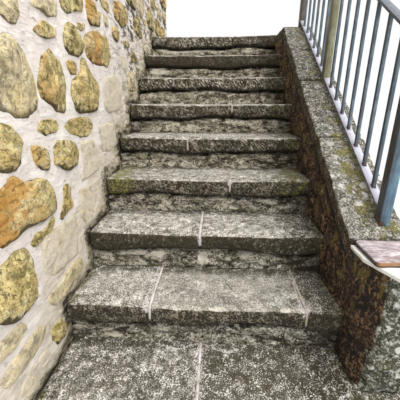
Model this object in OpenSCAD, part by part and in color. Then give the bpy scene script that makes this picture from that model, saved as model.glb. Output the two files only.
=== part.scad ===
// Outdoor stone steps between a rubble wall and a raking parapet with a steel railing.
// The origin is on the ground, under the middle of the bottom step.
// +X points right, +Y points up the flight and +Z points up. All sizes are in millimetres.

/* [Flight] */
// Number of steps, the landing counted as the last one
step_count = 9; // [5:1:12]
// Height of one step
rise = 190; // [150:1:210]
// Depth of one step, from nosing to nosing
going = 274; // [240:1:340]
// Clear width between the two walls
flight_w = 1095; // [900:5:1400]
// Depth of the landing behind the top step's nosing
landing_depth = 885; // [700:5:1400]

/* [Slabs] */
// Thickness of a slab where it lies on its bed
slab_t = 90; // [70:1:110]
// How far a slab's nosing stands out over the riser below it
nosing_overhang = 25; // [15:1:40]
// Radius of the worn nosing
nosing_r = 16; // [8:1:24]
// How far feet have worn the nosing down in the middle of the flight
foot_wear = 7; // [0:0.5:12]
// How far the rough underside of the front lip wanders up and down
lip_wave = 14; // [0:1:20]
// Height over which the lip's lower edge is rounded off
lip_round = 10; // [6:1:14]
// How far the lip's underside ends in front of the riser
lip_back = 3; // [1:1:6]
// Width of the mortar joint between two slabs
joint_w = 8; // [4:1:12]

/* [Rubble] */
// Height of a course of rubble
course_h = 175; // [130:5:240]
// Distance between the stones of a course, from middle to middle
stone_pitch = 285; // [220:5:360]
// Width of the mortar between two stones
stone_gap = 24; // [14:1:36]
// How far the stones stand out of the mortar
stone_proud = 11; // [4:1:13]
// How far a stone's corners wander inwards
stone_wander = 12; // [0:1:20]

/* [Left wall] */
// Thickness of the rubble wall
left_wall_t = 420; // [300:10:600]
// How far the rubble wall starts in front of the bottom nosing
left_wall_lead = 220; // [60:10:400]
// Height of the rubble wall over the landing
left_wall_guard = 900; // [300:10:1100]

/* [Parapet] */
// Thickness of the parapet wall
parapet_t = 200; // [150:5:300]
// Height of the coping over the nosing line at the pier
parapet_foot_h = 252; // [200:2:300]
// Width of the coping stones
coping_w = 215; // [205:5:320]
// Thickness of the coping stones
coping_t = 65; // [45:1:90]
// Radius of the coping's worn upper edges
coping_edge_r = 10; // [4:1:16]

/* [End pier] */
// Distance from the bottom nosing back to the pier's end face
pier_setback = 100; // [40:5:140]
// Depth of the pier, along the flight
pier_d = 237; // [180:1:300]
// Width of the pier
pier_w = 320; // [260:5:400]
// How far the pier's stair-side corner is cut off at its foot, across the flight
pier_foot_cut = 36; // [10:1:60]
// How far that corner is cut off at its top, across the flight
pier_top_cut = 68; // [20:1:90]
// How far the pier's end face leans back at the top
pier_lean = 12; // [0:1:25]
// How far the pale slab's corner is cut off, across the flight
bed_slab_cut = 70; // [20:1:100]
// Thickness of the pale slab that beds the cap
bed_slab_t = 15; // [10:1:30]
// How far the pale slab stands out over the pier
bed_slab_overhang = 11; // [4:1:20]
// Thickness of the cap's flagstone
cap_t = 20; // [12:1:40]
// Distance from the pier's end face back to the flagstone's front edge
cap_setback = 79; // [40:1:100]
// How far the flagstone lies in from the pier's sides
cap_inset = 22; // [10:1:40]
// Radius of the flagstone's worn corners
cap_corner_r = 16; // [4:1:30]
// How much lower the flagstone lies than the foot of the coping
cap_drop = 16; // [0:1:30]

/* [Railing] */
// Distance from the coping's stair edge to the railing's middle plane
rail_inset = 142; // [80:1:150]
// Side of a square post
post_side = 40; // [30:1:50]
// Side of a square baluster
baluster_side = 14; // [10:1:18]
// Width of the flat bars
bar_w = 35; // [26:1:45]
// Thickness of the bottom bar
bottom_bar_t = 8; // [5:1:12]
// Thickness of the handrail
handrail_t = 10; // [6:1:16]
// Clear height between the coping and the bottom bar, measured plumb
bottom_bar_h = 28; // [15:1:60]
// Height of the handrail's top over the coping, measured plumb
handrail_h = 624; // [500:1:1000]
// Distance from the pier's back to the middle of the near post
near_post_at = 62; // [40:1:100]
// Distance from the near post to the middle post
lower_bay = 835; // [700:5:900]
// Distance from the head of the raking coping to the middle of the top post
top_post_at = 25; // [25:1:60]
// Length of handrail that runs past each end post
handrail_end = 15; // [0:1:60]
// Balusters in the lower bay
lower_balusters = 7; // [3:1:9]
// Balusters in the upper bay
upper_balusters = 6; // [3:1:8]

/* [Hidden] */
$fn = 48;

// Where the slabs of each step meet, measured from the middle of the flight
tread_joints = [[0], [-204, 412], [-20], [124], [-127], [147], [-284], [], []];
// Where the coping stones meet, as shares of the raking length
coping_joints = [0, 0.302, 0.585, 0.795, 1];
// Big stones low on the rubble wall's stair face: middle along the flight, middle height, length and height
big_stones = [
    [80, 1215, 215, 225], [300, 1215, 190, 225], [595, 1205, 310, 190], [785, 1400, 340, 140],
    [515, 1385, 150, 100], [305, 1385, 160, 60], [540, 1540, 220, 115], [775, 1545, 210, 105],
    [1075, 1525, 135, 75], [1195, 1655, 270, 130], [475, 1045, 285, 80], [-5, 1020, 145, 135],
    [160, 965, 100, 85], [330, 935, 190, 105], [25, 835, 345, 150], [-100, 610, 195, 205],
    [260, 770, 110, 115], [185, 600, 280, 170], [530, 895, 190, 160], [500, 685, 240, 185],
    [950, 1190, 345, 205], [795, 965, 260, 155], [-105, 365, 245, 80], [200, 445, 280, 80],
    [315, 1475, 190, 75], [-80, 255, 175, 80], [1195, 1385, 185, 95]
];

half_w = flight_w / 2;
landing_h = step_count * rise;
back_y = nosing_y(step_count) + landing_depth;
// Back of the top slab, which the landing's flags follow
top_slab_back = nosing_y(step_count) + going + nosing_overhang;
flag_row_d = (back_y - top_slab_back - 2 * joint_w) / 2;

wall_front = nosing_y(1) - left_wall_lead;
wall_top = landing_h + left_wall_guard;

pier_front = nosing_y(1) + pier_setback;
pier_back = pier_front + pier_d;
pier_right = half_w + pier_w;
coping_foot_z = pitch_z(pier_back) + parapet_foot_h;
cap_top = coping_foot_z - cap_drop;
pier_top = cap_top - cap_t - bed_slab_t;

// The raking coping ends where it meets the level of the landing
coping_head_y = nosing_y(step_count - 1);
rake = atan((landing_h - coping_foot_z) / (coping_head_y - pier_back));
rake_len = (coping_head_y - pier_back) / cos(rake);
mitre_y = coping_t * tan(rake / 2);
coping_overhang = coping_w - parapet_t;
// Where the underside of the raking coping starts, over the pier's back
coping_under_z = coping_foot_z - coping_t / cos(rake);

rail_x = half_w + rail_inset;
near_post_y = pier_back + near_post_at;
middle_post_y = near_post_y + lower_bay;
top_post_y = coping_head_y + top_post_at;

// Nosing line of a step, and the face of the riser under it
function nosing_y(i) = (i - 1.5) * going;
function riser_y(i) = nosing_y(i) + nosing_overhang;
// Top of the masonry course that a step's slabs lie on
function bed_z(i) = i <= 0 ? 0 : i * rise - slab_t;
// Height of the line that touches all the nosings
function pitch_z(y) = rise * (y / going + 1.5);
// Height of the coping's raking top at y
function coping_z(y) = coping_foot_z + (y - pier_back) * tan(rake);

// Foot wear is deepest in the middle of the flight and fades out at the walls
function wear(x) = foot_wear * max(0, 1 - pow(x / half_w, 2));
// The lip's underside and the face wander in slow waves, other ones on each step
function lip_z(i, x) = -slab_t - lip_wave * (0.6 * sin(0.37 * x + 97 * i) + 0.4 * sin(0.9 * x + 41 * i));
function face_y(i, x) = 3 * sin(0.6 * x + 150 * i) - 3;

// A solid with the side outline pts in Y and Z, from x0 to x0 + w
module side_prism(x0, w, pts) {
    translate([x0, 0, 0])
        rotate([90, 0, 90])
            linear_extrude(height = w)
                polygon(pts);
}

// A slab's outline across the flight at x: flat bed, worn top, round nosing and rough lip
function slab_outline(i, x, depth) =
    let (w = wear(x), r = nosing_r, lip = lip_z(i, x), f = face_y(i, x), back = nosing_overhang - lip_back)
    concat(
        [[depth, -slab_t], [depth, 0], [depth * 0.45, -0.25 * w], [4 * r, -0.5 * w]],
        [for (a = [90 : 30 : 180]) [r + f + r * cos(a), -w - r + r * sin(a)]],
        [[f, -0.55 * slab_t], [f + 0.3 * lip_round, lip + lip_round], [f + lip_round, lip]],
        [[back, lip], [back + lip_back / 2, -slab_t]]
    );

// One worn slab of step i between x0 and x1, skinned through outlines about 75 mm apart
module worn_slab(i, x0, x1, depth) {
    count = ceil((x1 - x0) / 75) + 1;
    rings = [for (k = [0 : count - 1])
        let (x = x0 + (x1 - x0) * k / (count - 1))
        [for (p = slab_outline(i, x, depth)) [x, nosing_y(i) + p[0], i * rise + p[1]]]];
    n = len(rings[0]);
    polyhedron(
        points = [for (ring = rings) for (p = ring) p],
        faces = concat(
            [[for (j = [n - 1 : -1 : 0]) j]],
            [[for (j = [0 : n - 1]) (count - 1) * n + j]],
            [for (k = [0 : count - 2]) for (j = [0 : n - 1])
                [k * n + j, k * n + (j + 1) % n, (k + 1) * n + (j + 1) % n, (k + 1) * n + j]]
        )
    );
}

// The slabs of one step, with open joints between them
module tread(i) {
    joints = tread_joints[(i - 1) % len(tread_joints)];
    edges = concat([-half_w], joints, [half_w]);
    last = len(joints);
    color("#8d8a7d")
    for (k = [0 : last])
        worn_slab(
            i,
            edges[k] + (k > 0 ? joint_w / 2 : 0),
            edges[k + 1] - (k < last ? joint_w / 2 : 0),
            going + nosing_overhang
        );
    // The bottom step also has a slab that runs under the pier
    if (i == 1)
        color("#8d8a7d")
            worn_slab(i, half_w + joint_w, pier_right, pier_back - nosing_y(1));
}

// One course of bedded rubble, whose front is the riser under step i
module riser_course(i) {
    course_h = bed_z(i) - bed_z(i - 1);
    color("#6f6c58") {
        translate([-half_w, riser_y(i), bed_z(i - 1)])
            cube([flight_w, back_y - riser_y(i), course_h]);
        if (i == 1)
            translate([half_w, riser_y(1), 0])
                cube([pier_w, pier_back - riser_y(1), course_h]);
    }
}

// A row of landing flags, count of them side by side
module flag_row(y0, count) {
    flag_w = (flight_w - (count - 1) * joint_w) / count;
    color("#8a877b")
    for (k = [0 : count - 1])
        translate([-half_w + k * (flag_w + joint_w), y0, landing_h - slab_t])
            cube([flag_w, flag_row_d, slab_t]);
}

module landing_front_flags() {
    flag_row(top_slab_back + joint_w, 3);
}

module landing_back_flags() {
    flag_row(top_slab_back + 2 * joint_w + flag_row_d, 2);
}

// A value from 0 to 1 that looks like chance but is the same each time
function chance(a, b, c) = let (s = 1000 * sin(127.1 * a + 311.7 * b + 74.7 * c)) s - floor(s);

// How far the joints of a course and the beds between courses wander, as a share of their distance
joint_wander = 0.4;
bed_wander = 0.35;
// A stone that an edge of the wall would cut below this share of its size is left out
least_share = 0.35;
// How far a stone reaches into its wall
stone_bed = 4;

// Joint before stone k of course j along a face, and bed under course j
function stone_joint(k, j, face) =
    (k + 0.5 * (j % 2) + joint_wander * (chance(k, j, face) - 0.5)) * stone_pitch;
function course_bed(j, face) = (j + bed_wander * (chance(j, 7, face) - 0.5)) * course_h;

// Height that the stones of a face start at: on the stair face, the step that their far end stands on
function stones_low(face, far) =
    face == 3 ? rise * max(0, min(step_count, floor(far / going + 1.5))) : 0;
// Height that they end at: on the parapet, the coping's underside over their near end
function stones_high(face, near) =
    face == 4 ? min(coping_under_z + (near - pier_back) * tan(rake), landing_h - coping_t) : wall_top;

// Box of stone k of course j on a face that runs from from to to, cut by the edges of the face
function stone_box(k, j, face, from, to) =
    let (
        near = max(from + stone_joint(k, j, face), from) + stone_gap / 2,
        far = min(from + stone_joint(k + 1, j, face), to) - stone_gap / 2,
        low = max(course_bed(j, face), stones_low(face, far)) + stone_gap / 2,
        high = min(course_bed(j + 1, face), stones_high(face, near)) - stone_gap / 2
    )
    [near, low, far, high];

// Whether a box is large enough for a stone, and clear of the big stones of the stair face
function holds_stone(box, face) =
    box[2] - box[0] > least_share * stone_pitch &&
    box[3] - box[1] > least_share * course_h &&
    (face != 3 || len([for (s = big_stones) if (boxes_meet(box, s)) s]) == 0);
function boxes_meet(box, s) =
    abs(box[0] + box[2] - 2 * s[0]) < box[2] - box[0] + s[2] + stone_gap &&
    abs(box[1] + box[3] - 2 * s[1]) < box[3] - box[1] + s[3] + stone_gap;

// Eight corners of a stone in its box: each corner of the box is cut off, and each end of a cut wanders inwards
function stone_corners(box, seed) =
    let (
        w = box[2] - box[0],
        h = box[3] - box[1],
        a = [for (n = [0 : 3]) w * (0.06 + 0.26 * chance(n, 1, seed))],
        b = [for (n = [0 : 3]) h * (0.08 + 0.32 * chance(n, 2, seed))],
        e = [for (n = [0 : 7]) stone_wander * chance(n, 3, seed)]
    )
    [
        [box[0] + a[0], box[1] + e[0]], [box[2] - a[1], box[1] + e[1]],
        [box[2] - e[2], box[1] + b[1]], [box[2] - e[3], box[3] - b[2]],
        [box[2] - a[2], box[3] - e[4]], [box[0] + a[3], box[3] - e[5]],
        [box[0] + e[6], box[3] - b[3]], [box[0] + e[7], box[1] + b[0]]
    ];

// Coursed stones of a face, drawn flat: along the face, and up
module coursed_stones(face, from, to) {
    for (j = [0 : ceil(wall_top / course_h)], k = [-1 : ceil((to - from) / stone_pitch)]) {
        box = stone_box(k, j, face, from, to);
        if (holds_stone(box, face))
            stone(box, k + 40 * j + 1000 * face);
    }
}

// One stone, let into its wall and standing out of it
module stone(box, seed) {
    linear_extrude(height = stone_bed + stone_proud)
        polygon(stone_corners(box, seed));
}

// Turns what is drawn flat so that it runs up the flight and stands out to the right, or to the left
module on_right_face(x) {
    translate([x - stone_bed, 0, 0])
        rotate([90, 0, 90])
            children();
}
module on_left_face(x) {
    translate([x - stone_proud, 0, 0])
        rotate([90, 0, 90])
            children();
}

// The rubble wall on the left, level on top
module left_wall() {
    color("#cfc4ad") {
        translate([-half_w - left_wall_t, wall_front, 0])
            cube([left_wall_t, back_y - wall_front, wall_top]);
        on_left_face(-half_w - left_wall_t)
            coursed_stones(1, wall_front, back_y);
        translate([0, wall_front + stone_bed, 0])
            rotate([90, 0, 0])
                coursed_stones(2, -half_w - left_wall_t, -half_w);
        on_right_face(-half_w) {
            coursed_stones(3, wall_front, back_y);
            for (n = [0 : len(big_stones) - 1]) {
                s = big_stones[n];
                stone([s[0] - s[2] / 2, s[1] - s[3] / 2, s[0] + s[2] / 2, s[1] + s[3] / 2], n);
            }
        }
    }
}

// The parapet wall on the right: raking beside the flight, level beside the landing
module right_wall() {
    color("#5a4f3f") {
        side_prism(half_w, parapet_t, [
            [pier_back, 0],
            [back_y, 0],
            [back_y, landing_h - coping_t],
            [coping_head_y + mitre_y, landing_h - coping_t],
            [pier_back, coping_under_z]
        ]);
        on_right_face(half_w + parapet_t)
            coursed_stones(4, pier_back, back_y);
    }
}

// The pier's corner is cut about twice as far along the flight as across it
cut_slope = 2.1;

// Plan of the pier between left and right, with its stair-side corner cut off
function pier_plan(left, front, right, cut) = [
    [left, pier_back],
    [left, front + cut_slope * cut],
    [left + cut, front],
    [right, front],
    [right, pier_back]
];

// The rubble pier leans back a little and loses more of its corner towards the top
module end_pier() {
    slice = 1;
    color("#77786a")
    hull() {
        translate([0, 0, rise])
            linear_extrude(height = slice)
                polygon(pier_plan(half_w, pier_front, pier_right, pier_foot_cut));
        translate([0, 0, pier_top - slice])
            linear_extrude(height = slice)
                polygon(pier_plan(half_w, pier_front + pier_lean, pier_right, pier_top_cut));
    }
}

// The pale slab under the cap follows the pier's cut corner
module pier_bed_slab() {
    front = pier_front - bed_slab_overhang;
    left = half_w + bed_slab_overhang;
    right = pier_right + bed_slab_overhang;
    color("#e9e8e4")
    translate([0, 0, pier_top])
        linear_extrude(height = bed_slab_t)
            polygon(pier_plan(left, front, right, bed_slab_cut));
}

// The flagstone on the pier, with its outer corners worn round
module pier_flagstone() {
    left = half_w + cap_inset;
    right = pier_right - cap_inset;
    front = pier_front + cap_setback;
    color("#a79aa3")
    translate([0, 0, cap_top - cap_t])
        linear_extrude(height = cap_t)
            union() {
                translate([left, front + cap_corner_r])
                    square([right - left, pier_back - front - cap_corner_r]);
                translate([left + cap_corner_r, front])
                    square([right - left - 2 * cap_corner_r, cap_corner_r + 1]);
                for (x = [left + cap_corner_r, right - cap_corner_r])
                    translate([x, front + cap_corner_r])
                        circle(r = cap_corner_r);
            }
}

// Cross-section of the coping, with the stair edge at zero and both upper edges round
module coping_section() {
    r = coping_edge_r;
    square([coping_w, coping_t - r]);
    translate([r, 0])
        square([coping_w - 2 * r, coping_t]);
    for (x = [r, coping_w - r])
        translate([x, coping_t - r])
            circle(r = r);
}

// A length of coping from the point (y, z) on its top line, tilted by angle
module coping_bar(y, z, angle, from, to) {
    translate([half_w, y, z])
        rotate([angle, 0, 0])
            translate([0, to, -coping_t])
                rotate([90, 0, 0])
                    linear_extrude(height = to - from)
                        coping_section();
}

// Raking coping stone k, cut plumb against the pier and mitred at the head
module coping_stone(k) {
    first = k == 1;
    last = k == len(coping_joints) - 1;
    from = coping_joints[k - 1] * rake_len + (first ? -coping_t : joint_w / 2);
    to = coping_joints[k] * rake_len + (last ? coping_t : -joint_w / 2);
    reach = 2 * coping_t;
    color("#8f9086")
    difference() {
        coping_bar(pier_back, coping_foot_z, rake, from, to);
        if (first)
            translate([half_w - 1, pier_back - reach, coping_foot_z - reach])
                cube([coping_w + 2, reach, 2 * reach]);
        if (last)
            side_prism(half_w - 1, coping_w + 2, [
                [coping_head_y - mitre_y, landing_h + coping_t],
                [coping_head_y + 2 * mitre_y, landing_h - 2 * coping_t],
                [coping_head_y + reach, landing_h - 2 * coping_t],
                [coping_head_y + reach, landing_h + coping_t]
            ]);
    }
}

// Two level coping stones beside the landing
module level_coping() {
    run = back_y - coping_head_y;
    middle = run / 2;
    reach = 2 * coping_t;
    color("#8f9086") {
        difference() {
            coping_bar(coping_head_y, landing_h, 0, 0, middle - joint_w / 2);
            side_prism(half_w - 1, coping_w + 2, [
                [coping_head_y - mitre_y, landing_h + coping_t],
                [coping_head_y - reach, landing_h + coping_t],
                [coping_head_y - reach, landing_h - 2 * coping_t],
                [coping_head_y + 2 * mitre_y, landing_h - 2 * coping_t]
            ]);
        }
        coping_bar(coping_head_y, landing_h, 0, middle + joint_w / 2, run);
    }
}

// Heights over the coping's raking line, measured plumb
bottom_bar_top = bottom_bar_h + bottom_bar_t / cos(rake);
handrail_under = handrail_h - handrail_t / cos(rake);

// A piece of the railing between y0 and y1, from height h0 to height h1 over the coping
module raked_piece(y0, y1, w, h0, h1) {
    side_prism(rail_x - w / 2, w, [
        [y0, coping_z(y0) + h0],
        [y1, coping_z(y1) + h0],
        [y1, coping_z(y1) + h1],
        [y0, coping_z(y0) + h1]
    ]);
}

module raking_post(y) {
    raked_piece(y - post_side / 2, y + post_side / 2, post_side, 0, handrail_under);
}

module near_post() {
    color("#4a6a86")
        raking_post(near_post_y);
}

module middle_post() {
    color("#6f6a4c")
        raking_post(middle_post_y);
}

// The top post stands on the level coping
module top_post() {
    y0 = top_post_y - post_side / 2;
    y1 = top_post_y + post_side / 2;
    color("#4a3b33")
    side_prism(rail_x - post_side / 2, post_side, [
        [y0, landing_h],
        [y1, landing_h],
        [y1, coping_z(y1) + handrail_under],
        [y0, coping_z(y0) + handrail_under]
    ]);
}

module bottom_bar(from_post, to_post) {
    color("#b9bccb")
    raked_piece(from_post + post_side / 2, to_post - post_side / 2, bar_w, bottom_bar_h, bottom_bar_top);
}

module lower_bottom_bar() {
    bottom_bar(near_post_y, middle_post_y);
}

module upper_bottom_bar() {
    bottom_bar(middle_post_y, top_post_y);
}

module handrail() {
    reach = post_side / 2 + handrail_end;
    color("#b9bccb")
    raked_piece(near_post_y - reach, top_post_y + reach, bar_w, handrail_under, handrail_h);
}

// Balusters at even spacing between two posts, standing on the bottom bar
module baluster_row(from_post, to_post, count) {
    pitch = (to_post - from_post) / (count + 1);
    color("#5b7890")
    for (k = [1 : count])
        raked_piece(
            from_post + k * pitch - baluster_side / 2,
            from_post + k * pitch + baluster_side / 2,
            baluster_side,
            bottom_bar_top,
            handrail_under
        );
}

module lower_baluster_row() {
    baluster_row(near_post_y, middle_post_y, lower_balusters);
}

module upper_baluster_row() {
    baluster_row(middle_post_y, top_post_y, upper_balusters);
}

for (i = [1 : step_count]) {
    riser_course(i);
    tread(i);
}
landing_front_flags();
landing_back_flags();
left_wall();
right_wall();
end_pier();
pier_bed_slab();
pier_flagstone();
for (k = [1 : 4])
    coping_stone(k);
level_coping();
near_post();
middle_post();
top_post();
lower_bottom_bar();
upper_bottom_bar();
handrail();
lower_baluster_row();
upper_baluster_row();
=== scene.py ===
"""Looks of the outdoor stone steps: rubble walls, worn slabs, a raking coping and a painted steel railing."""

import itertools
import math

import bpy
import numpy as np
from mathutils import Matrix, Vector


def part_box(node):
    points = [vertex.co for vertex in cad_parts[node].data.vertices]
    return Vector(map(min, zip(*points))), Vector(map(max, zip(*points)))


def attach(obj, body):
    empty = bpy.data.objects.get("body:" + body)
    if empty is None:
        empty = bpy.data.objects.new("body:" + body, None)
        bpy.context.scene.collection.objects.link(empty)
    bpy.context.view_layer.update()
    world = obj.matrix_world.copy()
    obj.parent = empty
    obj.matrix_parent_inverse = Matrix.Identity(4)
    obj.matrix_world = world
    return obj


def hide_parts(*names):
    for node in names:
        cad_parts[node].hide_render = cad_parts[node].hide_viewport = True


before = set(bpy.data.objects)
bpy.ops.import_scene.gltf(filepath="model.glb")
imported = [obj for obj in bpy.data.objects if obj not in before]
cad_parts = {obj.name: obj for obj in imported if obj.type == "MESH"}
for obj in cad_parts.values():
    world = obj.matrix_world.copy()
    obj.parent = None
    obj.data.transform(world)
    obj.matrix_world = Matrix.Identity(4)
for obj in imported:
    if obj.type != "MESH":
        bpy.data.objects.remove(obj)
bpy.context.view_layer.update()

# The camera stands in front of the bottom step at head height, in metres and degrees
CAMERA_PLACE = (0.0536, -0.8014, 1.1397)
CAMERA_PITCH = 18.43
CAMERA_YAW = 3.42
LENS_MM = 25.92
SENSOR_MM = 36

# Sizes of the slabs and joints, in metres
NOSING_OVERHANG = 0.025
NOSING_R = 0.016
FOOT_WEAR = 0.007
LIP_WAVE = 0.014
JOINT_W = 0.008
# How far the slabs stop short of the left wall and run in under the parapet's face
WALL_GAP = 0.004
PARAPET_LAP = 0.006
# Half the width of the mortar ribbon in a joint
RIBBON_HALF_W = 0.0046
# Where the slabs of each step meet, from the middle of the flight
TREAD_JOINTS = [[0], [-0.204, 0.412], [-0.020], [0.124], [-0.127], [0.147], [-0.284], [], []]

# Sizes of the parapet and its coping, in metres
PARAPET_FOOT_H = 0.252
COPING_W = 0.215
COPING_T = 0.065
COPING_EDGE_R = 0.010
COPING_JOINTS = [0, 0.302, 0.585, 0.795, 1]

# Sizes of the pier and its cap, in metres
PIER_FOOT_CUT = 0.036
PIER_TOP_CUT = 0.068
PIER_LEAN = 0.012
PIER_INSET = 0.008
CUT_SLOPE = 2.1
BED_SLAB_CUT = 0.070

# Sizes of the coursed rubble, in metres
COURSE_H = 0.175
STONE_PITCH = 0.285
STONE_GAP = 0.024
STONE_PROUD = 0.011
STONE_WANDER = 0.012
# How far the joints of a course and the beds between courses wander, as a share of their distance
JOINT_WANDER = 0.4
BED_WANDER = 0.35
# A stone that an edge of the wall would cut below this share of its size is left out
LEAST_SHARE = 0.35

# Sizes of the railing, in metres
POST_SIDE = 0.040
POST_EDGE_R = 0.004
BALUSTER_SIDE = 0.014
BALUSTER_EDGE_R = 0.0015
BAR_W = 0.035
BAR_EDGE_R = 0.0015
RAIL_T = 0.010
LOWER_BALUSTERS = 7
UPPER_BALUSTERS = 6

# The walls' boxes hold their stones too, and the walls' own faces lie behind those
wall_low, wall_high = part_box("left_wall")
wall_low = wall_low + Vector((STONE_PROUD, STONE_PROUD, 0))
wall_high = wall_high - Vector((STONE_PROUD, 0, 0))
half_w = -wall_high.x
back_y = wall_high.y
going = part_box("riser_course_2")[0].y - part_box("riser_course_1")[0].y
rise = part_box("riser_course_3")[0].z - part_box("riser_course_2")[0].z
slab_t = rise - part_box("riser_course_1")[1].z
slab_depth = going + NOSING_OVERHANG
step_count = sum(name.startswith("tread_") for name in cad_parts)
landing_h = step_count * rise
pier_low, pier_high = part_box("end_pier")
pier_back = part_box("right_wall")[0].y
parapet_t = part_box("right_wall")[1].x - STONE_PROUD - half_w


def nosing_y(step):
    """Front of a step's slab along the flight."""
    return (step - 1.5) * going


def bed_z(step):
    """Top of the masonry course that a step's slabs lie on."""
    return step * rise - slab_t if step > 0 else 0


coping_foot_z = rise * (pier_back / going + 1.5) + PARAPET_FOOT_H
coping_head_y = nosing_y(step_count - 1)
rake = math.atan((landing_h - coping_foot_z) / (coping_head_y - pier_back))
rake_length = (coping_head_y - pier_back) / math.cos(rake)


def coping_z(y):
    """Height of the coping's raking top."""
    return coping_foot_z + (y - pier_back) * math.tan(rake)


# Noise, worked out for whole arrays of points at once


def lattice(corner, seed):
    """A random value from 0 to 1 for each whole-number point, the same on every run."""
    mixed = corner[..., 0] * 73856093 ^ corner[..., 1] * 19349663 ^ corner[..., 2] * 83492791 ^ seed * 40503
    mixed = (mixed ^ (mixed >> 13)) * 1274126177
    return ((mixed ^ (mixed >> 16)) & 0xFFFFF) / 0xFFFFF


def noise(points, size, seed=0):
    """Smooth noise from -1 to 1, eased between random values at the corners of boxes of the given size."""
    scaled = points / np.asarray(size) + 100.0 + 7.31 * (seed % 97)
    low = np.floor(scaled).astype(np.int64)
    part = scaled - low
    part = part * part * (3 - 2 * part)
    total = np.zeros(points.shape[:-1])
    for step in itertools.product((0, 1), repeat=3):
        share = np.where(step, part, 1 - part).prod(axis=-1)
        total += share * lattice(low + step, seed)
    return 2 * total - 1


def rough(points, size, octaves=3, seed=0):
    """Fractal noise from about -1 to 1: each octave is half as wide as the last and 0.55 times as strong."""
    strengths = [0.55**octave for octave in range(octaves)]
    layers = [
        strength * noise(points, np.asarray(size) / 2**octave, seed + 31 * octave)
        for octave, strength in enumerate(strengths)
    ]
    return sum(layers) / sum(strengths)


def shifts(points, size, octaves=3, seed=0):
    """Three noises for each point, one along each axis."""
    return np.stack([rough(points, size, octaves, seed + 7 * axis) for axis in range(3)], axis=-1)


def cells(u, v, size, seed):
    """Irregular cells round jittered points, one in each rectangle of the given size.

    Gives the distance to the second nearest point less that to the nearest, in rectangles, which is 0 on a
    border, and the nearest point's own random value."""
    place = np.stack(np.broadcast_arrays(u / size[0], v / size[1]), axis=-1)
    low = np.floor(place).astype(np.int64)
    nearest = np.full(place.shape[:-1], 9.0)
    second = nearest
    value = 0 * nearest
    for step in itertools.product((-1, 0, 1), repeat=2):
        corner = np.concatenate([low + step, np.zeros_like(low[..., :1])], axis=-1)
        jitter = np.stack([lattice(corner, seed), lattice(corner, seed + 1)], axis=-1)
        distance = np.linalg.norm(place - corner[..., :2] - 0.15 - 0.7 * jitter, axis=-1)
        nearer = distance < nearest
        second = np.where(nearer, nearest, np.minimum(second, distance))
        value = np.where(nearer, lattice(corner, seed + 2), value)
        nearest = np.where(nearer, distance, nearest)
    return second - nearest, value


def ramp(values, low, high):
    """0 below low and 1 above high, eased in between; high may be the lower one."""
    part = np.clip((values - low) / (high - low), 0, 1)
    return part * part * (3 - 2 * part)


# Meshes from grids of points

# Sizes of the smaller rings that close each end of a skin
CAP_SCALES = (0.72, 0.36)


def ring_faces(count, around):
    """Quads between rings of points, and triangles from two middle points to the first ring and the last."""
    here = np.arange(around)
    there = (here + 1) % around
    row = np.arange(count - 1)[:, None] * around
    quads = np.stack([row + here, row + there, row + around + there, row + around + here], axis=-1)
    last_row = (count - 1) * around
    start = np.stack([np.full(around, count * around), there, here], axis=-1)
    end = np.stack([np.full(around, count * around + 1), last_row + here, last_row + there], axis=-1)
    return quads.reshape(-1, 4), np.concatenate([start, end])


def skin(*columns):
    """A closed surface through rings of points, which are given as their x, y, z and any marks.

    Smaller rings and a middle point close each end."""
    rings = np.stack(np.broadcast_arrays(*columns), axis=-1)
    first = rings[0].mean(axis=0)
    last = rings[-1].mean(axis=0)
    before = [first + scale * (rings[0] - first) for scale in reversed(CAP_SCALES)]
    after = [last + scale * (rings[-1] - last) for scale in CAP_SCALES]
    stack = np.concatenate([before, rings, after])
    points = np.concatenate([stack.reshape(-1, stack.shape[-1]), [first, last]])
    return points, *ring_faces(*stack.shape[:2])


def roughen(points, xyz, *layers):
    """Shifts points by noise at the places xyz: each layer is its depth, size, octaves and seed."""
    points[:, :3] += sum(depth * shifts(xyz, *kind) for depth, *kind in layers)


def outward(points, quads, triangles):
    """Turns the faces round where the enclosed volume comes out negative."""
    flat = np.concatenate([quads[:, [0, 1, 2]], quads[:, [0, 2, 3]], triangles])
    a, b, c = (points[flat[:, k], :3] for k in range(3))
    if np.einsum("ij,ij->i", a, np.cross(b, c)).sum() < 0:
        return quads[:, ::-1], triangles[:, ::-1]
    return quads, triangles


def add_piece(name, parts, material, marks="", replaced=()):
    """One mesh object out of (points, quads, triangles) parts, riding on the only body.

    marks names the attributes that the columns past the third hold: bed has three columns, any other one."""
    starts = np.cumsum([0] + [len(part[0]) for part in parts])
    faces = [outward(*part) for part in parts]
    points = np.concatenate([part[0] for part in parts])
    quads, triangles = (
        np.concatenate([face[k] + start for face, start in zip(faces, starts)]) for k in range(2)
    )
    mesh = bpy.data.meshes.new(name)
    mesh.vertices.add(len(points))
    mesh.vertices.foreach_set("co", points[:, :3].astype(np.float32).ravel())
    loops = np.concatenate([quads.ravel(), triangles.ravel()]).astype(np.int32)
    mesh.loops.add(len(loops))
    mesh.loops.foreach_set("vertex_index", loops)
    sizes = np.repeat((4, 3), (len(quads), len(triangles)))
    mesh.polygons.add(len(sizes))
    mesh.polygons.foreach_set("loop_start", (np.cumsum(sizes) - sizes).astype(np.int32))
    mesh.polygons.foreach_set("use_smooth", np.ones(len(sizes), bool))
    column = 3
    for mark in marks.split():
        width, kind, field = (3, "FLOAT_VECTOR", "vector") if mark == "bed" else (1, "FLOAT", "value")
        attribute = mesh.attributes.new(mark, kind, "POINT")
        attribute.data.foreach_set(field, points[:, column : column + width].astype(np.float32).ravel())
        column += width
    mesh.update(calc_edges=True)
    mesh.materials.append(material)
    made = bpy.data.objects.new(name, mesh)
    bpy.context.scene.collection.objects.link(made)
    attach(made, "root")
    if replaced:
        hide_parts(*replaced)


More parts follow.
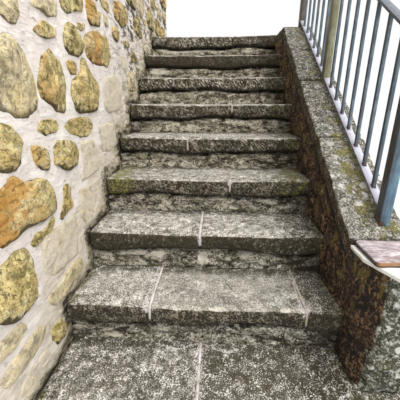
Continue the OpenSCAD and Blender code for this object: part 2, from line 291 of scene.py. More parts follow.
def subdivide(corners, counts):
    """Points along closed outlines, each side between two corners cut into its own count of equal lengths."""
    heading = np.roll(corners, -1, axis=-2) - corners
    sides = [
        corners[..., k : k + 1, :] + heading[..., k : k + 1, :] * (np.arange(count) / count)[:, None]
        for k, count in enumerate(counts)
    ]
    return np.concatenate(sides, axis=-2)


def spaced(start, *stretches):
    """Places along a line from its start: each stretch is its end and the spacing up to it."""
    places = [start]
    for end, spacing in stretches:
        count = max(1, round((end - start) / spacing))
        places.extend(start + (end - start) * np.arange(1, count + 1) / count)
        start = end
    return np.array(places)


def rounded_square(width, depth, radius, steps, sides=(1, 1, 1, 1)):
    """Rectangle round the origin with a quarter circle at each corner and its sides cut into equal lengths.

    sides counts the lengths of the back, left, front and right side."""
    turns = np.linspace(0, math.pi / 2, steps)
    quarters = []
    for quarter, (side_x, side_y) in enumerate(((1, 1), (-1, 1), (-1, -1), (1, -1))):
        angle = turns + quarter * math.pi / 2
        x = side_x * (width / 2 - radius) + radius * np.cos(angle)
        y = side_y * (depth / 2 - radius) + radius * np.sin(angle)
        quarters.append(np.stack([x, y], axis=-1))
    counts = [count for side in sides for count in [1] * (steps - 1) + [side]]
    return subdivide(np.concatenate(quarters), counts)


# Rubble stones that stand out of the mortar

STONE_MARKS = "bed tone stain pale moss rim low"
# The columns of a stone's points that hold these marks: the place and the bed take up the first six
TONE_COLUMN = 6
RIM_COLUMN = 10
LOW_COLUMN = 11
# How much larger a placed stone is than its listed corners
PLACED_SCALE = 1.03
# A coursed stone that has less than this share of its size to itself is left out
LEAST_ROOM = 0.45
# How deep a stone's rim lies under the face of the mortar, and how thin it may be over that face
STONE_SINK = 0.010
LEAST_COVER = 0.0045
# Width of the mortar between two stones
STONE_JOINT = 0.018
# A distance that is further than any edge
FAR_OFF = 9.0
# What a stone's kind gives: stain, paleness, moss, and whether it lies nearly flush
STONE_KINDS = {
    "ochre": (0.15, 0.0, 0.25, False),
    "orange": (1.0, 0.0, 0.15, False),
    "brown": (0.50, 0.0, 0.60, False),
    "grey": (0.05, 0.40, 0.55, False),
    "mossy": (0.0, 0.0, 1.0, False),
    "pale": (0.10, 1.0, 0.05, True),
    "plain": (0.1, 0.50, 0.3, False),
}


def outline_reach(corners, angle):
    """Distance from the origin to a closed outline of straight sides along each angle.

    A ray meets a side where the cross product of the side's start and heading, over that of the ray and the
    side, is the distance; the nearest meeting inside a side's length counts."""
    side = np.roll(corners, -1, axis=0) - corners
    ray_x, ray_y = np.cos(angle)[..., None], np.sin(angle)[..., None]
    cross = ray_x * side[:, 1] - ray_y * side[:, 0]
    cross = np.where(np.abs(cross) < 1e-9, 1e-9, cross)
    distance = (corners[:, 0] * side[:, 1] - corners[:, 1] * side[:, 0]) / cross
    share = (corners[:, 0] * ray_y - corners[:, 1] * ray_x) / cross
    met = (distance > 0) & (share > -0.001) & (share < 1.001)
    return np.where(met, distance, FAR_OFF).min(axis=-1)


def chance(a, b, c):
    """A value from 0 to 1 that looks like chance but is the same each time."""
    value = 1000 * math.sin(math.radians(127.1 * a + 311.7 * b + 74.7 * c))
    return value - math.floor(value)


def stone_corners(low, high, seed):
    """Eight corners of a stone in its box, whose corners are cut off and the cuts' ends moved inwards."""
    w, h = high[0] - low[0], high[1] - low[1]
    a = [w * (0.06 + 0.26 * chance(n, 1, seed)) for n in range(4)]
    b = [h * (0.08 + 0.32 * chance(n, 2, seed)) for n in range(4)]
    e = [STONE_WANDER * chance(n, 3, seed) for n in range(8)]
    corners = [(low[0] + a[0], low[1] + e[0]), (high[0] - a[1], low[1] + e[1])]
    corners += [(high[0] - e[2], low[1] + b[1]), (high[0] - e[3], high[1] - b[2])]
    corners += [(high[0] - a[2], high[1] - e[4]), (low[0] + a[3], high[1] - e[5])]
    corners += [(low[0] + e[6], high[1] - b[3]), (low[0] + e[7], low[1] + b[0])]
    return np.array(corners)


def coursed(face, start, end, floor=lambda far: 0, ceiling=lambda near: wall_high.z, pitch=STONE_PITCH,
            course=COURSE_H, mirrored=False):
    """Coursed rubble on a face from start to end, by the CAD model's rule: each stone's middle and corners.

    floor gives the height where a stone starts, from the place of its far end, and ceiling the height where
    it ends, from the place of its near end. Distances are from the start, or from the end if mirrored."""
    stones = []
    length = end - start
    for j in range(math.ceil(ceiling(end) / course) + 1):
        beds = [(n + BED_WANDER * (chance(n, 7, face) - 0.5)) * course for n in (j, j + 1)]
        for k in range(-1, math.ceil(length / pitch) + 1):
            joints = [n + 0.5 * (j % 2) + JOINT_WANDER * (chance(n, j, face) - 0.5) for n in (k, k + 1)]
            near = max(joints[0] * pitch, 0) + STONE_GAP / 2
            far = min(joints[1] * pitch, length) - STONE_GAP / 2
            low = max(beds[0], floor(start + far)) + STONE_GAP / 2
            high = min(beds[1], ceiling(start + near)) - STONE_GAP / 2
            if far - near > LEAST_SHARE * pitch and high - low > LEAST_SHARE * course:
                corners = stone_corners((near, low), (far, high), k + 40 * j + 1000 * face)
                if mirrored:
                    corners = corners * (-1, 1) + (length, 0)
                middle = corners.mean(axis=0)
                stones.append((middle, corners - middle))
    return stones


def pillow(corners, line_angles, line_rooms, deep, flat, rng, around, rows):
    """One stone's visible face on a grid of turn and distance, closed behind.

    Its outline is the nearest of its own sides and its neighbours' lines, softened and frayed. Over it stands
    a pillow, 1 less a power of the distance, chiselled by random sloping planes and roughened by noise."""
    seed = int(rng.integers(1000))
    theta = np.linspace(0, 2 * math.pi, around, endpoint=False)
    edge = outline_reach(corners, theta)
    facing = np.maximum(np.cos(theta[:, None] - line_angles), 0.04)
    edge = np.minimum(edge, (line_rooms / facing).min(axis=1, initial=FAR_OFF))
    edge = (np.roll(edge, 1) + 2 * edge + np.roll(edge, -1)) / 4
    rim = np.stack([edge * np.cos(theta), edge * np.sin(theta), 0 * theta], axis=-1)
    edge = edge * (1 + 0.03 * rough(rim, 0.05, 2, seed)) + 0.0045 * rough(rim, 0.022, 3, seed + 1)
    size = edge.min()
    bulge = min(deep, 0.008 + 0.26 * size) * rng.uniform(0.6, 1.0) * (0.35 if flat else 1)

    part = np.sin(np.linspace(0, math.pi / 2, rows + 1))[1:, None]
    u = part * edge * np.cos(theta)
    v = part * edge * np.sin(theta)
    swell = bulge + STONE_SINK
    height = swell * (1 - part ** (7.0 if flat else 4.5)) ** 0.5 + 0 * theta
    softness = 0.0022
    for _ in range(6):
        facet = rng.uniform(0, 2 * math.pi)
        slope = rng.uniform(0.06, 0.42) * (0.3 if flat else 1)
        from_middle = rng.uniform(-0.2, 0.6) * size
        plane = swell * 1.04 - slope * (u * math.cos(facet) + v * math.sin(facet) - from_middle)
        height = -softness * np.logaddexp(-height / softness, -plane / softness)
    height = np.maximum(height, (STONE_SINK + 0.005) * (1 - part**14))
    # Strata run along the stone
    tall = np.ptp(corners[:, 1]) > np.ptp(corners[:, 0])
    spin = rng.normal(0, 0.25) + (math.pi / 2 if tall else 0)
    bed = [u * math.cos(spin) + v * math.sin(spin), v * math.cos(spin) - u * math.sin(spin), height]
    bed = np.stack(bed, axis=-1) + rng.uniform(-40, 40, 3)
    lumps = 0.0050 * rough(bed, 0.060, 2, seed) + 0.0036 * rough(bed, 0.024, 2, seed + 5)
    lumps += 0.0016 * rough(bed, 0.010, 2, seed + 6)
    creases = 1 - np.abs(noise(bed, (0.11, 0.034, 0.09), seed + 9))
    fade = (1 - part**12) * (0.45 if flat else 1.0)
    height = height + fade * (lumps - 0.007 * ramp(creases, 0.88, 1.0))
    # No hollow lies so deep that the mortar would show through it
    height = np.maximum(height, (STONE_SINK + LEAST_COVER) * (1 - part**14)) - STONE_SINK
    # The lower edge, for its damp stain and the painted shadow under the stone
    low = ramp(-np.sin(theta), 0.10, 0.8) * ramp(part, 0.62, 0.98)
    marks = np.stack([part + 0 * theta, low], axis=-1)
    grid = np.concatenate([np.stack([u, v, height], axis=-1), bed, marks], axis=-1)
    middle = grid[0].mean(axis=0)
    behind = grid[-1].mean(axis=0)
    behind[2] = -0.03
    points = np.concatenate([grid.reshape(-1, grid.shape[-1]), [middle, behind]])
    quads, triangles = ring_faces(rows, around)
    return points, quads[:, [0, 3, 2, 1]], triangles[:, [0, 2, 1]]


def stone_rooms(centres, outlines, fixed):
    """For each pair of stones: the angle between them, the first one's own reach and the room it has there.

    Coursed stones lie clear of each other, and a placed stone keeps its outline, so only a coursed stone
    beside a placed one is short of room: it gets what is left."""
    gap = centres[None] - centres[:, None]
    distance = np.linalg.norm(gap, axis=-1) + 1e3 * np.eye(len(centres))
    angle = np.arctan2(gap[..., 1], gap[..., 0])
    own = np.array([outline_reach(corners, angle[k]) for k, corners in enumerate(outlines)])
    return angle, own, np.where(fixed[None, :] & ~fixed[:, None], distance - own.T - STONE_JOINT, FAR_OFF)


def face_edges(width, height):
    """Edges of an upright face: the angle of each one's outward normal and its distance from the origin."""
    return [(math.pi, 0), (0, width), (-math.pi / 2, 0), (math.pi / 2, height)]


def stones_on(rng, place, axis_u, axis_v, edges, placed, scattered, fine=(84, 19), coarse=(34, 8), deep=0.030,
              kinds=("ochre", "plain", "brown")):
    """Stones on one flat face: the placed ones as given, and scattered ones wherever they leave room.

    fine and coarse are the grids of the two sorts. Gives two lists of parts, one for each sort."""
    given = [np.array(corners, float) / 1000 for _, corners in placed]
    centres = np.array([corners.mean(axis=0) for corners in given] + [middle for middle, _ in scattered])
    outlines = [PLACED_SCALE * (corners - corners.mean(axis=0)) for corners in given]
    outlines += [corners for _, corners in scattered]
    names = [kind for kind, _ in placed] + list(rng.choice(kinds, len(scattered)))
    fixed = np.arange(len(names)) < len(placed)
    angle, own, room = stone_rooms(centres, outlines, fixed)
    edge_angle, edge_distance = np.array(edges).T
    headings = np.stack([np.cos(edge_angle), np.sin(edge_angle)])
    edge_room = edge_distance - centres @ headings - STONE_JOINT / 2
    edge_own = np.array([outline_reach(corners, edge_angle) for corners in outlines])
    alive = np.arange(len(names))
    while True:
        share = (room / own)[np.ix_(alive, alive)].min(axis=1)
        share = np.minimum(share, (edge_room / edge_own)[alive].min(axis=1))
        weak = (share < LEAST_ROOM) & ~fixed[alive]
        if not weak.any():
            break
        alive = np.delete(alive, np.argmin(np.where(weak, share, FAR_OFF)))
    axes = np.array([axis_u, axis_v, np.cross(axis_u, axis_v)], float)
    parts = ([], [])
    for k in alive:
        half = np.abs(outlines[k]).max(axis=0)
        stain, pale, moss, flat = STONE_KINDS[names[k]]
        line_angles = np.concatenate([angle[k, alive], edge_angle])
        line_rooms = np.concatenate([room[k, alive], edge_room[k]])
        near = line_rooms < np.linalg.norm(half) * 1.3
        detail = fine if fixed[k] else coarse
        points, *faces = pillow(outlines[k], line_angles[near], line_rooms[near], deep, flat, rng, *detail)
        world = place + (points[:, :3] + [*centres[k], 0]) @ axes
        same = [rng.uniform(), stain * rng.uniform(0.7, 1), pale, moss * rng.uniform(0.6, 1)]
        same = np.tile(same, (len(points), 1))
        # Iron stains lie on one side of a stone
        same[:, 1] *= ramp(points[:, 0], 0.7 * half[0], -0.5 * half[0])
        # The lower edge's damp stain and painted shadow are kept to upright faces
        marks = [points[:, 3:6], same, points[:, 6:7], points[:, 7:8] * abs(axis_v[2])]
        parts[0 if fixed[k] else 1].append((np.concatenate([world, *marks], axis=1), *faces))
    return parts


# Materials


def srgb(text):
    """A colour written as sRGB hex, as linear values with full alpha."""
    channels = [int(text[k : k + 2], 16) / 255 for k in (1, 3, 5)]
    linear = [c / 12.92 if c <= 0.04045 else ((c + 0.055) / 1.055) ** 2.4 for c in channels]
    return (*linear, 1.0)


class Look:
    """The nodes of a material, or of the world, with the masks and coats of colour that it is made of."""

    def __init__(self, name, kind=bpy.data.materials):
        self.owner = kind.new(name)
        self.owner.use_nodes = True
        self.tree = self.owner.node_tree
        self.tree.nodes.clear()
        self.place = self.node("TexCoord", output="Object")

    def node(self, kind, inputs=(), output=0, **settings):
        """Adds a node, sets its properties, fills or links its inputs and gives one of its outputs."""
        made = self.tree.nodes.new("ShaderNode" + kind)
        for name, value in settings.items():
            setattr(made, name, value)
        for key, value in dict(inputs).items():
            if isinstance(value, bpy.types.NodeSocket):
                self.tree.links.new(value, made.inputs[key])
            else:
                made.inputs[key].default_value = srgb(value) if isinstance(value, str) else value
        return made.outputs[output] if made.outputs else None

    def marks(self, names):
        """The values that the mesh carries, by their names."""
        return [
            self.node("Attribute", output="Vector" if name == "bed" else "Fac", attribute_name=name)
            for name in names.split()
        ]

    def overlap(self, *masks):
        """A mask that is white only where every one of the masks or numbers is."""
        total = masks[0]
        for other in masks[1:]:
            total = self.node("Math", {0: total, 1: other}, operation="MULTIPLY")
        return total

    def added(self, *masks, base=0.0):
        """The sum of masks, each with its factor, over a base."""
        for mask, factor in masks:
            base = self.node("Math", {0: mask, 1: factor, 2: base}, operation="MULTIPLY_ADD")
        return base

    def ranged(self, value, low, high):
        """A mask that rises from 0 at low to 1 at high."""
        ends = {"Value": value, "From Min": low, "From Max": high}
        return self.node("MapRange", ends, interpolation_type="SMOOTHSTEP")

    def ragged(self, value, rough_mask, share, low, high):
        """A ragged mask: the value plus a share of a noise mask, from 0 at low to 1 at high."""
        return self.ranged(self.added((rough_mask, share), base=value), low, high)

    def clouds(self, size, detail, start, roughness, place=None):
        """Noise about size metres wide."""
        inputs = {"Vector": place or self.place, "W": start, "Scale": 1 / size, "Detail": detail}
        return self.node("TexNoise", {**inputs, "Roughness": roughness}, noise_dimensions="4D")

    def patches(self, size, low, high, detail=4.0, start=0.0, roughness=0.6, place=None):
        """A mask of noise patches about size metres wide: black below low, white above high."""
        return self.ranged(self.clouds(size, detail, start, roughness, place), low, high)

    def wandering(self, scale, detail, reach):
        """The object's own coordinates, moved about by noise."""
        wander = self.node("TexNoise", {"Vector": self.place, "Scale": scale, "Detail": detail}, "Color")
        return self.node("VectorMath", {0: wander, 1: (reach,) * 3, 2: self.place}, operation="MULTIPLY_ADD")

    def spots(self, size, radius):
        """A mask of rounded spots, one in each cell of the given size, radius being a share of the cell."""
        moved = self.wandering(2.2 / size, 3.0, size * 0.9)
        distance = self.node("TexVoronoi", {"Vector": moved, "Scale": 1 / size})
        return self.ranged(distance, radius, radius * 0.65)

    def cracks(self, size, width):
        """A mask of thin crooked lines: the borders of warped cells of the given size."""
        inputs = {"Vector": self.wandering(1.6 / size, 4.0, size * 0.8), "W": 0.0, "Scale": 1 / size}
        border = self.node("TexVoronoi", inputs, feature="DISTANCE_TO_EDGE", voronoi_dimensions="4D")
        ends = {"From Min": width / size, "From Max": 0.2 * width / size}
        return self.node("MapRange", {"Value": border, **ends})

    def coats(self, base, *layers):
        """Lays the colour of each layer over the ones before it, where all of the layer's masks are white."""
        for over, *masks in layers:
            base = self.node("Mix", {0: self.overlap(*masks), 6: base, 7: over}, 2, data_type="RGBA")
        return base

    def flecked(self, grit, lump, base, light, dark, share=0.8, start=0.0, place=None):
        """A stone's own grain: fine grit and wider lumps in one field, pale where high and dark where low.

        Gives the colour and both masks."""
        fine = self.clouds(grit, 3.0, start, 0.75, place)
        wide = self.clouds(lump, 4.0, start + 2.3, 0.65, place)
        field = self.added((wide, 0.50), base=fine)
        pale = self.ranged(field, 0.790, 0.835)
        deep = self.ranged(field, 0.710, 0.665)
        return self.coats(base, (dark, deep, share), (light, pale, share)), pale, deep

    def surface(self, colour, roughness, *heights):
        """Gives the material its shader and a bump, from masks with their depth in metres."""
        bump = self.node("Bump", {"Height": self.added(*heights), "Distance": 1.0, "Strength": 1.0})
        shader = self.node("BsdfPrincipled", {"Base Color": colour, "Roughness": roughness, "Normal": bump})
        self.node("OutputMaterial", {"Surface": shader})
        return self.owner


def rubble_stone(name, light, middle, dark):
    """Weathered field stone: gritty and matt, with iron stains, dark pits and cracks, and grey lichen."""
    look = Look(name)
    look.place, tone, stain, pale, moss, rim, low = look.marks(STONE_MARKS)
    # A pattern comes out longer along an axis whose scale is below 1
    layered = look.node("Mapping", {"Vector": look.place, "Scale": (0.45, 1, 1)})
    split = look.node("Mapping", {"Vector": look.place, "Scale": (0.32, 1, 1)})
    broad = look.patches(0.070, 0.42, 0.58, 5.0)
    strata = look.patches(0.044, 0.50, 0.60, 6.0, 27.0, 0.7, layered)
    wash = look.patches(0.10, 0.46, 0.60, 4.0, 31.0)
    crack = look.patches(0.020, 0.570, 0.610, 6.0, 11.0, 0.72, split)
    damp = look.patches(0.040, 0.46, 0.60, 6.0, 13.0, 0.7)
    iron = look.patches(0.110, 0.42, 0.53, 6.0, 17.0, 0.65)
    rust = look.patches(0.045, 0.52, 0.62, 6.0, 18.0, 0.7)
    crust = look.overlap(look.spots(0.022, 0.42), look.patches(0.11, 0.53, 0.60, 4.0, 19.0))
    plaster = look.patches(0.06, 0.24, 0.50, 6.0, 23.0)
    bare = look.ranged(pale, 1.4, 0.0)
    ground = look.coats(
        middle,
        (light, broad),
        (dark, tone, 0.32),
        ("#b3a24a", wash, look.ranged(pale, 1.2, 0.0), 0.36),
        ("#e6c08c", stain, 0.55),
    )
    # Grit and small knobs, up to a centimetre wide
    grained, lights, darks = look.flecked(0.006, 0.026, ground, "#fbefc0", "#71602f", 0.62)
    colour = look.coats(
        grained,
        ("#8a7538", strata, bare, 0.36),
        ("#dba043", iron, stain, 0.85),
        ("#b57530", iron, stain, rust, 0.6),
        ("#7f7636", damp, moss, 0.42),
        ("#cfcdc4", crust, 0.7),
        ("#4e3f1c", crack, bare, 0.68),
        ("#fcf1df", plaster, pale, 0.90),
        # The damp lower edges with painted shadow under the stones, a darker rim all round, and a near black
        # line of painted shadow along the lower rim
        ("#40371a", look.ragged(low, damp, 0.7, 0.30, 1.05), look.ranged(pale, 1.5, 0.0), 0.9),
        ("#5f5330", look.ranged(rim, 0.93, 1.0), 0.55),
        ("#2c240f", look.ranged(rim, 0.95, 1.0), look.ranged(low, -0.2, 0.6), 0.9),
    )
    heights = (broad, 0.0025), (lights, 0.0010), (darks, -0.0022), (strata, -0.0020), (crack, -0.0030)
    return look.surface(colour, 0.94, *heights)


MORTAR_MARKS = "grime far"


def lime_mortar(name, light="#fffaf7", middle="#f3ebe4", shade="#b8ac94", soil=0.14, grimed=True):
    """Hand-smeared lime mortar, dry and chalky: faint trowel strokes, sand, and dirt beside the steps,
    darkening into painted shade in the corner.
    """
    look = Look(name)
    turned = look.node("Mapping", {"Vector": look.place, "Rotation": (0.6, 0.3, 0.2), "Scale": (1, 1, 3.0)})
    stroke = look.patches(0.09, 0.42, 0.60, 6.0, 0.0, 0.7, turned)
    smear = look.patches(0.15, 0.44, 0.58, 4.0, 2.0)
    sand = look.patches(0.006, 0.58, 0.70, 3.0, 4.0)
    hollow = look.patches(0.022, 0.60, 0.68, 5.0, 6.0)
    dirt = look.patches(0.07, 0.48, 0.60, 6.0, 8.0, 0.7)
    layers = [(light, stroke), ("#f6eef8", smear, 0.45), (shade, hollow, 0.55), (shade, sand, 0.30)]
    layers.append(("#a39a78", dirt, soil))
    if grimed:
        grime_and_shade, far = look.marks(MORTAR_MARKS)
        running = look.node("Mapping", {"Vector": look.place, "Scale": (1, 0.4, 1)})
        algae = look.patches(0.028, 0.45, 0.57, 6.0, 9.0, 0.72, running)
        black = look.patches(0.034, 0.505, 0.55, 6.0, 12.0, 0.72, running)
        layers += [
            ("#a39a80", far, algae, 0.35),
            ("#3a3325", far, black, 0.92),
            ("#dacdb0", look.ragged(grime_and_shade, smear, 0.3, 0.10, 0.60), 0.60),
            ("#93896a", look.ragged(grime_and_shade, algae, 0.5, 0.50, 1.05), 0.65),
            # Nearest the steps the grime darkens into painted shade, near black in the corner
            ("#4f4735", look.ragged(grime_and_shade, black, 0.6, 0.90, 1.30), 0.80),
            ("#2b2318", look.ragged(grime_and_shade, algae, 0.25, 1.02, 1.20), 0.92),
        ]
    heights = (stroke, 0.0020), (smear, 0.0020), (sand, 0.0006), (hollow, -0.0020)
    return look.surface(look.coats(middle, *layers), 0.95, *heights)


SLAB_MARKS = "wear face dirt side peck moss under smear grain"


def worn_stone(name, light, middle, face_middle):
    """Sawn and pecked sandstone slabs, worn by feet: grey and granular, with black algae on the face."""
    look = Look(name)
    wear_and_highlight, face, dirt, side, peck, moss, under, smear, grain = look.marks(SLAB_MARKS)
    cloud = look.patches(0.16, 0.42, 0.60, 5.0, 5.0)
    blot = look.patches(0.045, 0.52, 0.66, 6.0, 7.0, 0.7)
    algae = look.patches(0.050, 0.40, 0.60, 6.0, 11.0, 0.7)
    green = look.patches(0.07, 0.52, 0.60, 6.0, 13.0, 0.7)
    crust = look.overlap(look.spots(0.020, 0.40), look.patches(0.14, 0.50, 0.58, 4.0, 15.0))
    crack = look.overlap(look.cracks(0.42, 0.004), look.patches(0.20, 0.54, 0.58, 2.0, 17.0))
    turned = {"Vector": look.place, "Rotation": (0, 0.8, 0), "Scale": (1, 1, 0.34)}
    slant = look.node("Mapping", turned, vector_type="TEXTURE")
    pecks = look.overlap(look.patches(0.026, 0.545, 0.600, 3.0, 19.0, place=slant), peck)
    dots = look.patches(0.012, 0.49, 0.56, 4.0, 21.0, 0.7)
    ground = look.coats(middle, (light, cloud), ("#7d786a", blot, 0.35))
    # Pits, tool marks and dots of lichen up to a centimetre wide
    tops, lights, darks = look.flecked(0.0052, 0.026, ground, "#fffdf8", "#38332a", grain)
    ground = look.coats(face_middle, ("#2f2819", algae, 0.75), ("#55532a", green, 0.25))
    faces, _, _ = look.flecked(0.0065, 0.024, ground, "#b3ad9b", "#1b150b", 0.80, 4.0)
    # Painted shade, near black, on the underside of the lip
    faces = look.coats(faces, ("#e4decf", pecks, 0.9), ("#191309", under, 0.85))
    # Dirt and mortar that are smeared over the stone leave its pale grains or its pits clear
    mossed = look.ragged(moss, algae, 0.7, 0.85, 1.5)
    colour = look.coats(
        tops,
        (faces, look.ragged(face, algae, 0.3, 0.35, 0.75)),
        # A pale band along the nosing's arris: wear, and a painted highlight
        ("#ece6d9", look.ragged(wear_and_highlight, algae, -0.9, 0.1, 0.8), look.ranged(darks, 1.2, 0.1), 0.7),
        ("#e4e1d6", crust, 0.40),
        # Trodden-in dirt, with painted shade at the back of each tread where the riser above stands
        ("#47412f", dirt, look.ragged(dirt, algae, 0.45, 0.3, 1.25), look.ranged(lights, 1.1, 0.66), 0.92),
        ("#37301f", look.ragged(side, algae, 0.6, 0.40, 1.20), look.ranged(lights, 1.1, 0.7), 0.88),
        ("#56552c", mossed, 0.60),
        ("#a6a350", mossed, dots, 0.85),
        ("#2f2a1c", crack, look.ranged(face, 1.0, 0.0), 0.8),
        ("#e4dfe0", look.ragged(smear, dots, -0.85, 0.10, 0.45), look.ranged(darks, 1.2, 0.0), 0.85),
    )
    heights = [(lights, 0.0009), (darks, -0.0016), (blot, -0.0018), (look.overlap(pecks, face), 0.0018)]
    return look.surface(colour, 0.90, *heights, (look.overlap(algae, face), -0.0012), (crack, -0.002))


RISER_MARKS = "tone joint foot side low_step lime"


def riser_rubble(name):
    """Rubble risers bedded in lime mortar, damp and stained: brown-grey stones, pale smeared joints, dark
    soil at the foot and painted shade under the slabs' lips.
    """
    look = Look(name)
    tone, joint, foot, side, low, lime = look.marks(RISER_MARKS)
    flat = look.node("Mapping", {"Vector": look.place, "Scale": (0.6, 1, 1.3)})
    smear = look.patches(0.060, 0.53, 0.59, 6.0, 6.0, 0.66, flat)
    algae = look.patches(0.055, 0.48, 0.60, 6.0, 8.0, 0.7, flat)
    daub = look.patches(0.050, 0.545, 0.575, 6.0, 14.0, 0.70, flat)
    hole = look.patches(0.035, 0.550, 0.585, 6.0, 16.0, 0.7, flat)
    green = look.patches(0.07, 0.53, 0.60, 6.0, 10.0, 0.7)
    ground = look.coats(
        "#c6bfa9",
        ("#938c77", tone, 0.6),
        ("#7f7d73", low, 0.7),
        ("#d3cbb8", joint, look.ragged(joint, smear, 0.8, 0.6, 1.6), 0.7),
        ("#d9d2c0", smear, 0.7),
    )
    grained, lights, darks = look.flecked(0.009, 0.036, ground, "#f8f3e4", "#2a2216", 0.90)
    colour = look.coats(
        grained,
        ("#3b3423", algae, 0.70),
        ("#76743e", green, 0.30),
        ("#eae4d5", daub, look.ranged(side, 0.9, 0.2), 0.85),
        ("#18120a", hole, 0.85),
        ("#352b1a", look.ragged(side, algae, 0.8, 0.5, 1.3), 0.88),
        ("#f6f0e2", look.ragged(lime, algae, -0.5, 0.20, 0.50), 0.92),
        # Dark soil at the foot, and painted shade, near black, in the gap under the lip
        ("#1f190d", look.ragged(foot, algae, 0.55, 0.45, 0.95), 0.92),
    )
    return look.surface(colour, 0.93, (lights, 0.0012), (darks, -0.0022), (smear, 0.0022), (algae, -0.0028))


PARAPET_MARKS = "tone joint outer high shadow"


def mossy_rubble(name, outer_middle, outer_light, outer_pale, outer_dark):
    """Damp rubble under the coping: nearly black algae, brown stone showing through and strips of moss."""
    look = Look(name)
    tone, joint, outer, high, shadow = look.marks(PARAPET_MARKS)
    streaked = look.node("Mapping", {"Vector": look.place, "Scale": (1, 1, 0.6)})
    cloud = look.patches(0.09, 0.44, 0.60, 5.0, 2.0)
    show = look.patches(0.080, 0.53, 0.60, 6.0, 0.0, 0.70, streaked)
    moss = look.patches(0.055, 0.53, 0.60, 6.0, 6.0, 0.66, streaked)
    fleck = look.patches(0.016, 0.585, 0.62, 4.0, 8.0, 0.7)
    crust = look.overlap(look.spots(0.034, 0.38), look.patches(0.12, 0.45, 0.50, 4.0, 14.0))
    ground = look.coats("#1a0d06", ("#2c190e", cloud), ("#372116", tone, 0.3), ("#8a6748", show, 0.80))
    inner, lights, darks = look.flecked(0.010, 0.040, ground, "#8a6a4b", "#060302", 0.80, place=streaked)
    inner = look.coats(
        inner,
        ("#150d06", joint, 0.55),
        ("#7a6d2c", moss, high, 0.60),
        ("#5a4f1c", moss, 0.15),
        ("#e6dac0", fleck, show, 0.95),
        ("#a8987a", fleck, 0.35),
        ("#0f0a05", shadow, 0.9),
    )
    ground = look.coats(outer_middle, (outer_light, cloud), ("#6a6636", moss, 0.4))
    outside, _, _ = look.flecked(0.009, 0.036, ground, outer_pale, outer_dark, 0.80, 3.0)
    outside = look.coats(outside, ("#e9ebe6", crust, 0.85), (outer_dark, shadow, 0.8))
    colour = look.coats(inner, (outside, look.ragged(outer, show, 0.5, 0.5, 0.9)))
    heights = (show, 0.0025), (cloud, 0.0025), (lights, 0.0012), (darks, -0.0026), (fleck, 0.0010)
    return look.surface(colour, 0.94, *heights)


COPING_MARKS = "top moss white"


def coping_slab(name):
    """Grey sandstone coping, never walked on: crusted with white lichen, with olive moss in the hollows."""
    look = Look(name)
    top, mossy, white_share = look.marks(COPING_MARKS)
    cloud = look.patches(0.10, 0.44, 0.58, 6.0, 4.0, 0.66)
    crust = look.spots(0.022, 0.45)
    white = look.overlap(look.spots(0.050, 0.40), look.patches(0.16, 0.45, 0.51, 4.0, 8.0), white_share)
    moss = look.patches(0.045, 0.45, 0.57, 6.0, 10.0, 0.7)
    ground = look.coats("#57534a", ("#67655d", cloud), ("#a19e92", white_share, 0.45))
    tops, lights, darks = look.flecked(0.0075, 0.024, ground, "#dedcd5", "#28251c", 0.85)
    mossed = look.ragged(mossy, moss, 0.8, 0.8, 1.5)
    tops = look.coats(
        tops,
        ("#cfcdc4", crust, look.patches(0.10, 0.48, 0.58, 4.0, 6.0), 0.55),
        ("#7a7440", mossed, 0.80),
        ("#c0b974", mossed, lights, 0.75),
        ("#f1efec", white, 0.90),
    )
    ground = look.coats("#33271a", ("#4a3c2b", cloud), ("#5f5826", moss, 0.30))
    sides, _, _ = look.flecked(0.009, 0.036, ground, "#8c806a", "#150e06", 0.8, 3.0)
    colour = look.coats(sides, (tops, look.ragged(top, cloud, 0.4, 0.5, 0.9)))
    heights = (lights, 0.0012), (darks, -0.0022), (cloud, 0.0025), (crust, 0.0010)
    return look.surface(colour, 0.92, *heights, (look.overlap(moss, mossy), 0.0025))


def pale_flag(name):
    """White marble-like slab under the cap, rained clean, with a dirty broken edge on the stair side."""
    look = Look(name)
    (edge,) = look.marks("edge")
    cloud = look.patches(0.06, 0.42, 0.66, 4.0)
    fleck = look.patches(0.010, 0.60, 0.72, 2.0, 3.0)
    colour = look.coats(
        "#fbfcfb",
        ("#e6e9e6", cloud, 0.3),
        ("#cfd1cb", fleck, 0.6),
        ("#cfc7b6", edge, look.ragged(edge, cloud, 0.6, 0.5, 1.4), 0.35),
    )
    return look.surface(colour, 0.55, (cloud, 0.0008), (fleck, -0.0005))


def flagstone(name):
    """Mauve slate-like flag, riven: thin layers, a tan broken front edge, dusty lichen, and painted shadow
    along its underside and down its stair-side face.
    """
    look = Look(name)
    edge, seam_shadow = look.marks("edge seam")
    along = look.node("Mapping", {"Vector": look.place, "Scale": (0.35, 1, 1)})
    layer = look.patches(0.020, 0.46, 0.58, 6.0, 0.0, 0.7, along)
    cloud = look.patches(0.06, 0.44, 0.58, 5.0, 3.0)
    ground = look.coats("#c0b3ba", ("#d6cbd1", cloud), ("#9d8f95", layer, 0.6))
    grained, lights, darks = look.flecked(0.008, 0.032, ground, "#f4ebef", "#8d7e83", 0.55, place=along)
    colour = look.coats(
        grained,
        ("#b98d60", edge, look.ragged(edge, layer, 0.5, 0.4, 1.2), 0.95),
        # Painted shadow, near black, along the flag's underside and on its stair-side face
        ("#1a140d", seam_shadow, 0.95),
    )
    return look.surface(colour, 0.85, (layer, 0.0018), (cloud, 0.0014), (lights, 0.0006), (darks, -0.0008))


STEEL_MARKS = "foot left"


